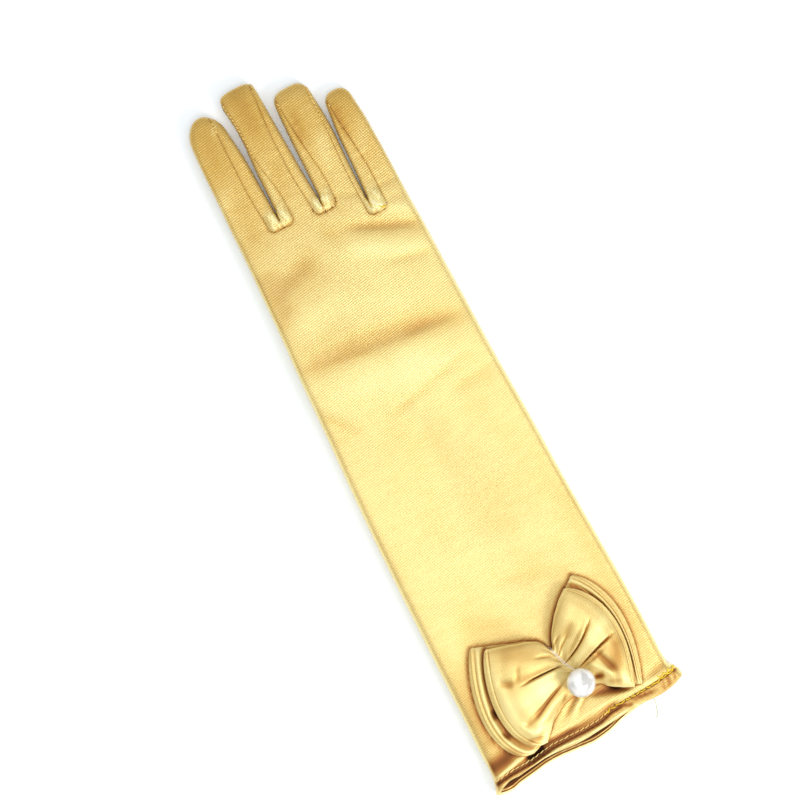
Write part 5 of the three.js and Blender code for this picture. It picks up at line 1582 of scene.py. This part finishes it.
def sew(name, tree, paths, slot_node, **values):
    piece = tree.run(name, paths, **values)
    stitch_pieces.append((piece, slot_node))
    return piece


sew("hem_stitches_gold", stitches, [laid_path(left_hem)], "glove_body", Pitch=2.3 * MM, Length=1.9 * MM,
    Thickness=0.42 * MM, Arch=0.3 * MM, Lean=0.16, Seed=3, Material=gold_thread)
sew("hem_stitches_yellow", stitches, [laid_path(right_hem)], "glove_body", Pitch=1.7 * MM, Length=1.7 * MM,
    Thickness=0.5 * MM, Arch=0.3 * MM, Sway=0.3, Jitter=0.25, Seed=5, Material=yellow_thread)
legs = [(x, y + 0.1) for x, y in right_hem[:-1]]
sew("hem_legs_brown", stitches, [laid_path(legs)], "glove_body", Pitch=2.4 * MM, Length=1.7 * MM,
    Thickness=0.36 * MM, Arch=0.35 * MM, Lean=1.4, Jitter=0.3, Seed=8, Material=brown_thread)
sew("hem_end_zigzag", stitches, [laid_path([(36.5, 7.6), (39.5, 8.0), (43.6, 8.6)])], "glove_body", Pitch=1.2 * MM,
    Length=1.9 * MM, Thickness=0.5 * MM, Arch=0.3 * MM, Sway=0.75, Jitter=0.2, Seed=11, Material=yellow_thread)
for f, strip in enumerate(FOURCHETTES):
    outline = outlines[f][0] / MM
    low = outline[:, 1].min()
    tab = outline[outline[:, 1] < low + 5.5]
    tab = tab[np.argsort(np.arctan2(tab[:, 0] - tab[:, 0].mean(), -(tab[:, 1] - low - 6)))]
    sew("tab_stitches_dark_%d" % f, stitches, [laid_path(tab, 0.02, 0.3)], strip["name"], Pitch=1.5 * MM,
        Length=1.0 * MM, Thickness=0.42 * MM, Arch=0.2 * MM, Lean=1.1, Jitter=0.45, Seed=20 + f,
        Material=brown_thread)
    sew("tab_stitches_gold_%d" % f, stitches, [laid_path(tab, 0.05, 0.3)], strip["name"], Pitch=1.5 * MM,
        Length=1.0 * MM, Thickness=0.24 * MM, Arch=0.14 * MM, Lean=0.2, Jitter=0.3, Seed=30 + f,
        Material=gold_thread)
for f, strip in enumerate(FOURCHETTES):
    seams = []
    for side, finger in ((-1, f), (1, f + 1)):
        tip = float(finger_edges(finger, KNUCKLE_Y[f + 1])[3]) - 5 * MM
        y = np.linspace(KNUCKLE_Y[f + 1] - 2 * MM, tip, 30)
        seams.append(laid_path(np.c_[seam_x(f, side, y), y] / MM, 0.1))
    sew("seam_stitches_%d" % f, stitches, seams, strip["name"], Pitch=1.7 * MM, Length=1.1 * MM,
        Thickness=0.36 * MM, Arch=0.18 * MM, Lean=0.12, Jitter=0.2, Seed=40 + f, Material=gold_thread)
sew("tab_knot", stitches, [laid_path([(26.2, 231.3), (27.6, 231.0)], 0.3, 0.3)], "fourchette_ring_little",
    Pitch=0.5 * MM, Length=1.2 * MM, Thickness=0.45 * MM, Arch=0.3 * MM, Sway=0.5, Seed=50, Material=yellow_thread)
print("stitch pieces:", len(stitch_pieces))

# %% Threads on the waist and the loose tail
bead_top = (6.8, 27.4)
bead_z = (Vector(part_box("pearl_bead")[0]) + Vector(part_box("pearl_bead")[1])).z / 2 - ORIGIN.z


def hung_thread(points, above, cloths):
    return laid_path(points, above, 0.6, cloths)


both = ("glove", "bow")
waist_paths = [
    hung_thread([(1.6, 39.8), (2.6, 36.9), (3.8, 32.5), (5.6, 28.4)], 0.2, both) + [(6.6 * MM, 27.4 * MM, bead_z)],
    hung_thread([(2.3, 39.4), (3.3, 36.4), (4.6, 32.2), (6.2, 28.6)], 0.25, both) + [(6.9 * MM, 27.5 * MM, bead_z)],
]
sew("waist_threads", threads, waist_paths, "bow_front", Thickness=0.32 * MM, Material=pale_thread)
tail = [(30.4, 3.4), (30.3, 1.0), (29.9, -2.2), (29.2, -5.4), (28.6, -7.0), (27.3, -7.7)]
tail_path = [(x * MM, y * MM, z * MM) for (x, y), z in zip(tail, (9.4, 8.4, 5.0, 1.8, 0.7, 0.35))]
sew("loose_tail", threads, [tail_path], "glove_body", Thickness=0.3 * MM, Material=tail_thread)

# %% [markdown]
# The photo was taken from straight above, in soft light from the right of the picture, on a white
# table. The camera stands over the middle of the picture and is turned so that the glove leans.

# %% Camera, light and table
PHOTO_WIDTH = 328 * MM
PHOTO_CENTRE = (-4.3 * MM, 157.8 * MM)
CAMERA_HEIGHT = 1.5
CAMERA_TURN = math.radians(-28)
camera_data = bpy.data.cameras.new("camera")
camera = bpy.data.objects.new("camera", camera_data)
bpy.context.scene.collection.objects.link(camera)
camera.location = ORIGIN + Vector((*PHOTO_CENTRE, CAMERA_HEIGHT))
camera.rotation_euler = (0, 0, CAMERA_TURN)
camera_data.lens = camera_data.sensor_width * (CAMERA_HEIGHT - ARM_HEIGHT) / PHOTO_WIDTH
camera_data.clip_start = 0.01
camera_data.dof.use_dof = False
bpy.context.scene.camera = camera

bpy.ops.mesh.primitive_plane_add(size=3)
table = bpy.context.object
table.name = "table"
table.location = (0, 0, ORIGIN.z - 0.1 * MM)
table_finish = Finish("white_table", Roughness=0.6)
table_finish.shader.inputs["Base Color"].default_value = (0.93, 0.95, 0.97, 1)
table_finish.shader.inputs["Emission Color"].default_value = (0.75, 0.9, 1.0, 1)
table_finish.shader.inputs["Emission Strength"].default_value = 0.12
dress(table, table_finish.material)


def area_light(name, place, size, power, colour=(1, 1, 1)):
    """A square lamp that looks at the glove. Its place is in the picture's directions."""
    light = bpy.data.lights.new(name, "AREA")
    light.size = size
    light.energy = power
    light.color = colour
    lamp = bpy.data.objects.new(name, light)
    bpy.context.scene.collection.objects.link(lamp)
    spot = Vector(place)
    spot.rotate(Euler((0, 0, CAMERA_TURN)))
    lamp.location = spot
    lamp.rotation_euler = spot.to_track_quat("Z", "Y").to_euler()
    return lamp


area_light("key", (0.46, -0.36, 0.52), 0.22, 2.6)
area_light("top", (0.03, -0.03, 0.62), 0.4, 1.0)
area_light("fill", (-0.8, 0.6, 0.9), 1.0, 1.6)
world = bpy.data.worlds.new("studio")
world.use_nodes = True
world.node_tree.nodes["Background"].inputs[0].default_value = (0.93, 0.97, 1.0, 1)
world.node_tree.nodes["Background"].inputs[1].default_value = 0.72
bpy.context.scene.world = world
bpy.context.scene.view_settings.view_transform = "Standard"

# %% [markdown]
# Last, each piece says which solids it stands for and what cloth it was cut from.

# %% Tell the frame about the pieces
for node, piece in [*glove_pieces.items(), ("thumb", thumb), *bows.items(), ("pearl_bead", bead)]:
    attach(piece, "root")
    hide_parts(node)
for piece, node in stitch_pieces:
    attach(piece, "root")
for f, (wide, long) in enumerate([(0.016, 0.13), (0.016, 0.13), (0.014, 0.12)]):
    piece = glove_pieces[FOURCHETTES[f]["name"]]
